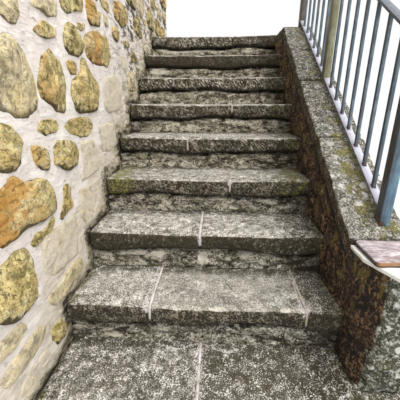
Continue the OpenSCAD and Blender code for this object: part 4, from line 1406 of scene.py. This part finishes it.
def copings():
    """The raking stones, cut plumb at the pier and mitred at the head, and the level ones by the landing."""
    stone = coping_slab("lichened_sandstone")
    mitre = math.tan(rake / 2)
    joints = [share * rake_length for share in COPING_JOINTS]
    last = len(joints) - 1
    for k in range(1, last + 1):
        start, start_slope = (0, math.tan(rake)) if k == 1 else (joints[k - 1] + JOINT_W / 2, 0)
        end, end_slope = (rake_length, mitre) if k == last else (joints[k] - JOINT_W / 2, 0)
        slopes = start_slope, end_slope
        part = coping_length(pier_back, coping_foot_z, rake, (start, end), slopes, 1000 + 20 * k)
        add_piece(f"worn_coping_{k}", [part], stone, COPING_MARKS, [f"coping_{k}"])
    run = back_y - coping_head_y
    near = (0, run / 2 - JOINT_W / 2), (-mitre, 0), 1100
    far = (run / 2 + JOINT_W / 2, run), (0, 0), 1120
    level = [coping_length(coping_head_y, landing_h, 0, *stretch, 0.013) for stretch in (near, far)]
    add_piece("worn_level_coping", level, stone, COPING_MARKS, ["level_coping"])


# The end pier

# Big rounded stones of the pier's front: the distance from its stair side and the height over its foot of
# each corner, in millimetres
PIER_STONES = [
    ("grey", [(74, 424), (150, 428), (238, 424), (246, 372), (160, 352), (76, 358)]),
    ("grey", [(252, 424), (308, 426), (312, 366), (256, 362)]),
    ("grey", [(70, 345), (120, 340), (196, 338), (204, 250), (120, 226), (60, 236)]),
    ("grey", [(212, 348), (306, 354), (311, 262), (218, 250)]),
    ("grey", [(56, 226), (130, 214), (170, 200), (168, 110), (90, 88), (50, 100)]),
    ("grey", [(180, 236), (308, 250), (313, 130), (240, 112), (180, 124)]),
    ("grey", [(46, 88), (110, 78), (160, 80), (164, 12), (42, 10)]),
    ("grey", [(172, 112), (240, 100), (312, 116), (314, 12), (174, 12)]),
]
# Shares of the height at which the cap's two slabs have a ring, and how wide each ring is
BED_SLAB_RINGS = [(0.0, 0.985), (0.08, 1.0), (0.3, 1.0), (0.6, 1.0), (0.85, 1.0), (1.0, 0.985)]
FLAGSTONE_RINGS = [
    (0.0, 0.975), (0.14, 0.978), (0.22, 0.998), (0.45, 0.996), (0.7, 1.0), (0.9, 0.997), (1.0, 0.982)
]


def pier_plan(left, front, right, back, cut):
    """Plan of the pier, with its stair-side corner cut off, as points round it."""
    stair_side = [[left, back], [left, front + CUT_SLOPE * cut], [left + cut, front]]
    return subdivide(np.array(stair_side + [[right, front], [right, back]]), [16, 14, 30, 22, 22])


def cap_rings(outline, middle, low, high, rings):
    """The x, y and z of a flat slab's rings: its outline round the middle, narrower at top and underside."""
    level, grow = np.array(rings).T[..., None]
    x, y = (middle[k] + outline[:, k] * grow for k in range(2))
    return x, y, low.z + (high.z - low.z) * level


def pier():
    """The pier's body between its foot plan and its top plan, and the big rounded stones on its faces."""
    rng = np.random.default_rng(31)
    front_y = pier_low.y + PIER_INSET
    outer_x = pier_high.x - PIER_INSET
    width, height = pier_high.x - pier_low.x, pier_high.z - pier_low.z
    foot = pier_plan(pier_low.x, front_y, outer_x, pier_back, PIER_FOOT_CUT)
    head = pier_plan(pier_low.x, pier_low.y + PIER_LEAN + PIER_INSET, outer_x, pier_back, PIER_TOP_CUT)
    part = np.linspace(0, 1, 60)[:, None]
    x, y = (foot[:, k] + (head - foot)[:, k] * part for k in range(2))
    z = pier_low.z + height * part
    cut = PIER_FOOT_CUT + (PIER_TOP_CUT - PIER_FOOT_CUT) * part
    border, tone = cells(x + y, z, (0.17, 0.14), 1200)
    outer = ramp(x - pier_low.x - cut, -0.024, -0.002)
    points, *faces = skin(x, y, z, tone, ramp(border, 0.2, 0.03), outer, ramp(z, 0.3, 0.62), 0)
    xyz = points[:, :3].copy()
    ahead = ramp(xyz[:, 1], pier_back, pier_back - 0.05)
    bulge = 0.012 * rough(xyz, 0.12, 3, 1210) + 0.006 * rough(xyz, 0.034, 3, 1211)
    points[:, 0] -= ramp(xyz[:, 0], pier_low.x + 0.08, pier_low.x + 0.04) * bulge * ahead
    points[:, :2] += 0.003 * shifts(xyz, 0.06, 3, 1212)[:, :2] * ahead[:, None]
    body = mossy_rubble("mossy_pier_rubble", "#585a4e", "#6b6e61", "#d6d7cd", "#23241a")
    add_piece("pier_body", [(points, *faces)], body, PARAPET_MARKS, ["end_pier"])

    lean = math.atan(PIER_LEAN / height)
    depth = pier_back - pier_low.y
    front, _ = stones_on(
        rng, (pier_low.x, front_y, pier_low.z), (1, 0, 0), (0, math.sin(lean), math.cos(lean)),
        face_edges(width, height)[1::2], PIER_STONES, [], fine=(64, 16), deep=0.007,
    )
    _, side = stones_on(
        rng, (outer_x, pier_low.y, pier_low.z), (0, 1, 0), (0, 0, 1), face_edges(depth, height), [],
        coursed(7, 0, depth, ceiling=lambda near: height, pitch=0.15, course=0.13),
        coarse=(36, 9), deep=0.016, kinds=("grey",),
    )
    # The stones share the pier's own crust, so their marks are those of its outer faces, with painted shadow
    # round each stone's rim
    crusted = []
    for points, *faces in front + side:
        tone, rim = points[:, TONE_COLUMN], points[:, RIM_COLUMN]
        marks = [tone, 0 * tone, 1 + 0 * tone, 0 * tone, 0.6 * ramp(rim, 0.95, 1.0)]
        crusted.append((np.column_stack([points[:, :3], *marks]), *faces))
    add_piece("pier_stones", crusted, body, PARAPET_MARKS)


def pier_cap():
    """The pale thin slab on the pier and the flagstone on top of it."""
    low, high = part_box("pier_bed_slab")
    plan = pier_plan(low.x, low.y, high.x, high.y, BED_SLAB_CUT)
    middle = plan.mean(axis=0)
    x, y, z = cap_rings(plan - middle, middle, low, high, BED_SLAB_RINGS)
    chamfer = low.x + BED_SLAB_CUT - (y - low.y) / CUT_SLOPE
    edge = ramp(x - np.maximum(chamfer, low.x), 0.006, 0.001) * ramp(z, high.z + 0.001, high.z - 0.002)
    points, *faces = skin(x, y, z, edge)
    roughen(points, points[:, :3].copy(), (0.0016, 0.05, 3, 1230))
    white = pale_flag("white_marble")
    add_piece("pale_bed_slab", [(points, *faces)], white, "edge", ["pier_bed_slab"])

    low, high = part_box("pier_flagstone")
    middle = [(low[k] + high[k]) / 2 for k in range(2)]
    outline = rounded_square(high.x - low.x, high.y - low.y, 0.014, 4, (26, 16, 26, 16))
    x, y, z = cap_rings(outline, middle, low, high, FLAGSTONE_RINGS)
    edge = ramp(y, low.y + 0.014, low.y + 0.004) * ramp(z, high.z + 0.004, high.z - 0.004)
    # Painted shadow along the flag's underside and on its stair-side face, fading out just under the top
    seam_shadow = np.maximum(ramp(z, low.z + 0.009, low.z + 0.003), 0.9 * ramp(x, low.x + 0.012, low.x + 0.002))
    points, *faces = skin(x, y, z, edge, seam_shadow * ramp(z, high.z, high.z - 0.005))
    xyz = points[:, :3].copy()
    frayed = rough(xyz[:, [0, 2, 1]] * (1, 4, 0), 0.05, 3, 1240)
    points[:, 1] += 0.005 * frayed * ramp(xyz[:, 1], low.y + 0.03, low.y)
    roughen(points, xyz, (0.0016, 0.05, 3, 1241))
    mauve = flagstone("mauve_flagstone")
    add_piece("riven_flagstone", [(points, *faces)], mauve, "edge seam", ["pier_flagstone"])


# The railing

# Size and reach of the weld where a bar meets another piece
WELD_R = 0.004


def upright(low, high, side, radius, foot, head, rings):
    """A square bar, plumb between two raking lines: its section carried up, swollen at both ends."""
    middle_x, middle_y = (low.x + high.x) / 2, (low.y + high.y) / 2
    section = rounded_square(side, side, radius, 4)
    length = head(middle_y) - foot(middle_y)
    weld = WELD_R / length
    between = np.linspace(1.6 * WELD_R / length, 1 - 1.6 * WELD_R / length, rings)
    foot_weld = [0, WELD_R / 2 / length, weld]
    head_weld = [1 - weld, 1 - WELD_R / 2 / length, 1]
    part = np.concatenate([foot_weld, between, head_weld])[:, None]
    grow = 1 + (WELD_R / side) * ramp(np.minimum(part, 1 - part) * length, WELD_R, 0.0)
    x = middle_x + section[:, 0] * grow
    y = middle_y + section[:, 1] * grow
    z = foot(y) + (head(y) - foot(y)) * part
    rust = np.maximum(ramp(part * length, 0.05, 0.0), 0.5 * ramp((1 - part) * length, 0.02, 0.0))
    # The left faces, for painted shade
    left = ramp(x, middle_x - 0.30 * side, middle_x - 0.47 * side)
    points, *faces = skin(x, y, z, rust, left)
    xyz = points[:, :3].copy()
    to_end = np.minimum(np.abs(xyz[:, 2] - foot(xyz[:, 1])), np.abs(xyz[:, 2] - head(xyz[:, 1])))
    lump = ramp(to_end, WELD_R, 0.0)
    points[:, :3] += (0.0003 + 0.0010 * lump[:, None]) * shifts(xyz, 0.012, 2, 1300)
    return points, *faces


def raking_bar(name, base, top, seed):
    """A flat bar parallel to the coping: its rounded section carried up the slope."""
    low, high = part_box(name)
    section_x, section_z = rounded_square(BAR_W, top - base, BAR_EDGE_R, 4, (1, 8, 1, 8)).T
    y = spaced(low.y, (high.y, 0.02))[:, None]
    x = (low.x + high.x) / 2 + section_x
    z = coping_z(y) + (base + top) / 2 + section_z
    rust = ramp(section_z, -0.1 * (top - base), -0.45 * (top - base)) * 0.35
    # The left face, for painted shade
    left = ramp(x, x.mean() - 0.40 * BAR_W, x.mean() - 0.5 * BAR_W)
    points, *faces = skin(x, y, z, rust, left)
    roughen(points, points[:, :3].copy(), (0.0004, 0.03, 3, seed))
    return points, *faces


def railing():
    """Three posts, two bottom bars, the handrail and the balusters between them."""
    # The last colour of each paint is the painted shade of its left faces
    blue = painted_steel("blue_gloss_paint", "#4b7793", "#6b9ab4", 0.25, "#33251c")
    olive = painted_steel("olive_gloss_paint", "#7d7c5c", "#a3a78d", 0.45, "#4d452c")
    brown = painted_steel("brown_gloss_paint", "#4a3d33", "#6a5c4e", 0.5, "#2e241c")
    # The bottom bars' pale lavender stands in for the bright sky reflected on them: a painted reflection
    pale = painted_steel("sky_reflection_gloss_paint", "#c9cae0", "#d8d9ea", 0.10, "#3a3a44")
    rail = painted_steel("handrail_gloss_paint", "#596675", "#7c8694", 0.30, "#2b333b")
    slate = painted_steel("slate_blue_gloss_paint", "#4f6173", "#7f97a3", 0.15, "#2b333b")
    rail_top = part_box("handrail")[1]
    rail_over = rail_top.z - coping_z(rail_top.y)
    rail_under = rail_over - RAIL_T / math.cos(rake)
    bar_foot, bar_top = (corner.z - coping_z(corner.y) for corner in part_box("lower_bottom_bar"))

    def level_or_rake(y):
        """The coping's top, raking and then level."""
        return np.minimum(coping_z(y), landing_h)

    def under_rail(y):
        """Underside of the handrail."""
        return coping_z(y) + rail_under

    def over_bar(y):
        """Top of the bottom bar."""
        return coping_z(y) + bar_top

    posts = (
        ("near_post", blue, "blue_paint"),
        ("middle_post", olive, "olive_paint"),
        ("top_post", brown, "brown_paint"),
    )
    for name, paint, slot in posts:
        part = upright(*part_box(name), POST_SIDE, POST_EDGE_R, level_or_rake, under_rail, 30)
        add_piece(f"painted_{name}", [part], paint, STEEL_MARKS, [name])
    bars = (
        ("lower_bottom_bar", pale, bar_foot, bar_top, 1320),
        ("upper_bottom_bar", pale, bar_foot, bar_top, 1330),
        ("handrail", rail, rail_under, rail_over, 1340),
    )
    for name, paint, *heights in bars:
        add_piece(f"painted_{name}", [raking_bar(name, *heights)], paint, STEEL_MARKS, [name])
    bays = (
        ("lower_baluster_row", "near_post", "middle_post", LOWER_BALUSTERS),
        ("upper_baluster_row", "middle_post", "top_post", UPPER_BALUSTERS),
    )
    for name, from_post, to_post, count in bays:
        start, end = ((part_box(post)[0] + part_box(post)[1]) / 2 for post in (from_post, to_post))
        balusters = []
        for k in range(1, count + 1):
            spot = Vector((start.x, start.y + (end.y - start.y) * k / (count + 1), 0))
            balusters.append(upright(spot, spot, BALUSTER_SIDE, BALUSTER_EDGE_R, over_bar, under_rail, 16))
        add_piece(f"painted_{name}", balusters, slate, STEEL_MARKS, [name])


# The studio

FLOOR_REACH = 40.0
WHITE = (1, 1, 1, 1)


def add_object(name, data):
    """An object in the scene that holds the data."""
    made = bpy.data.objects.new(name, data)
    bpy.context.scene.collection.objects.link(made)
    return made


def studio():
    """A plain pale floor, an even sky, one soft lamp above, and the camera."""
    look = Look("pale_floor")
    distance = look.node("VectorMath", {0: look.place}, "Value", operation="LENGTH")
    seen = look.node("LightPath", output="Is Camera Ray")
    stone = look.node("BsdfPrincipled", {"Base Color": "#efeeea", "Roughness": 0.9})
    white = look.node("Emission", {"Color": WHITE, "Strength": 1.0})
    faded = look.overlap(seen, look.ranged(distance, 3.2, 6.5))
    look.node("OutputMaterial", {"Surface": look.node("MixShader", {0: faded, 1: stone, 2: white})})
    mesh = bpy.data.meshes.new("floor")
    corners = [(x * FLOOR_REACH, y * FLOOR_REACH, 0) for x, y in ((-1, -1), (1, -1), (1, 1), (-1, 1))]
    mesh.from_pydata(corners, [], [(0, 1, 2, 3)])
    mesh.materials.append(look.owner)
    add_object("floor", mesh)

    look = Look("studio", bpy.data.worlds)
    bpy.context.scene.world = look.owner
    rays = ("Is Camera Ray", "Is Glossy Ray", "Is Transmission Ray")
    seen, *others = (look.node("LightPath", output=ray) for ray in rays)
    for other in others:
        seen = look.node("Math", {0: seen, 1: other}, operation="MAXIMUM")
    sky = look.node("Background", {"Color": "#f4f6fa", "Strength": 0.62})
    white = look.node("Background", {"Color": WHITE, "Strength": 1.0})
    look.node("OutputWorld", {"Surface": look.node("MixShader", {0: seen, 1: sky, 2: white})})

    lamp = bpy.data.lights.new("soft_lamp", "AREA")
    lamp.shape = "RECTANGLE"
    lamp.size = 8.0
    lamp.size_y = 8.0
    lamp.energy = 1060
    lamp.color = srgb("#fffaf2")[:3]
    holder = add_object("soft_lamp", lamp)
    holder.location = (3.2, -2.0, 8.7)
    aim = Vector((0.0, 0.9, 0.8)) - Vector(holder.location)
    holder.rotation_euler = aim.to_track_quat("-Z", "Y").to_euler()

    camera = bpy.data.cameras.new("camera")
    camera.sensor_width = SENSOR_MM
    camera.lens = LENS_MM
    viewer = add_object("camera", camera)
    viewer.location = CAMERA_PLACE
    viewer.rotation_euler = (math.radians(90 - CAMERA_PITCH), 0, math.radians(CAMERA_YAW))
    bpy.context.scene.camera = viewer
    bpy.context.scene.view_settings.view_transform = "Standard"


studio()
left_wall()
treads()
risers()
landing()
parapet()
copings()
pier()
pier_cap()
railing()
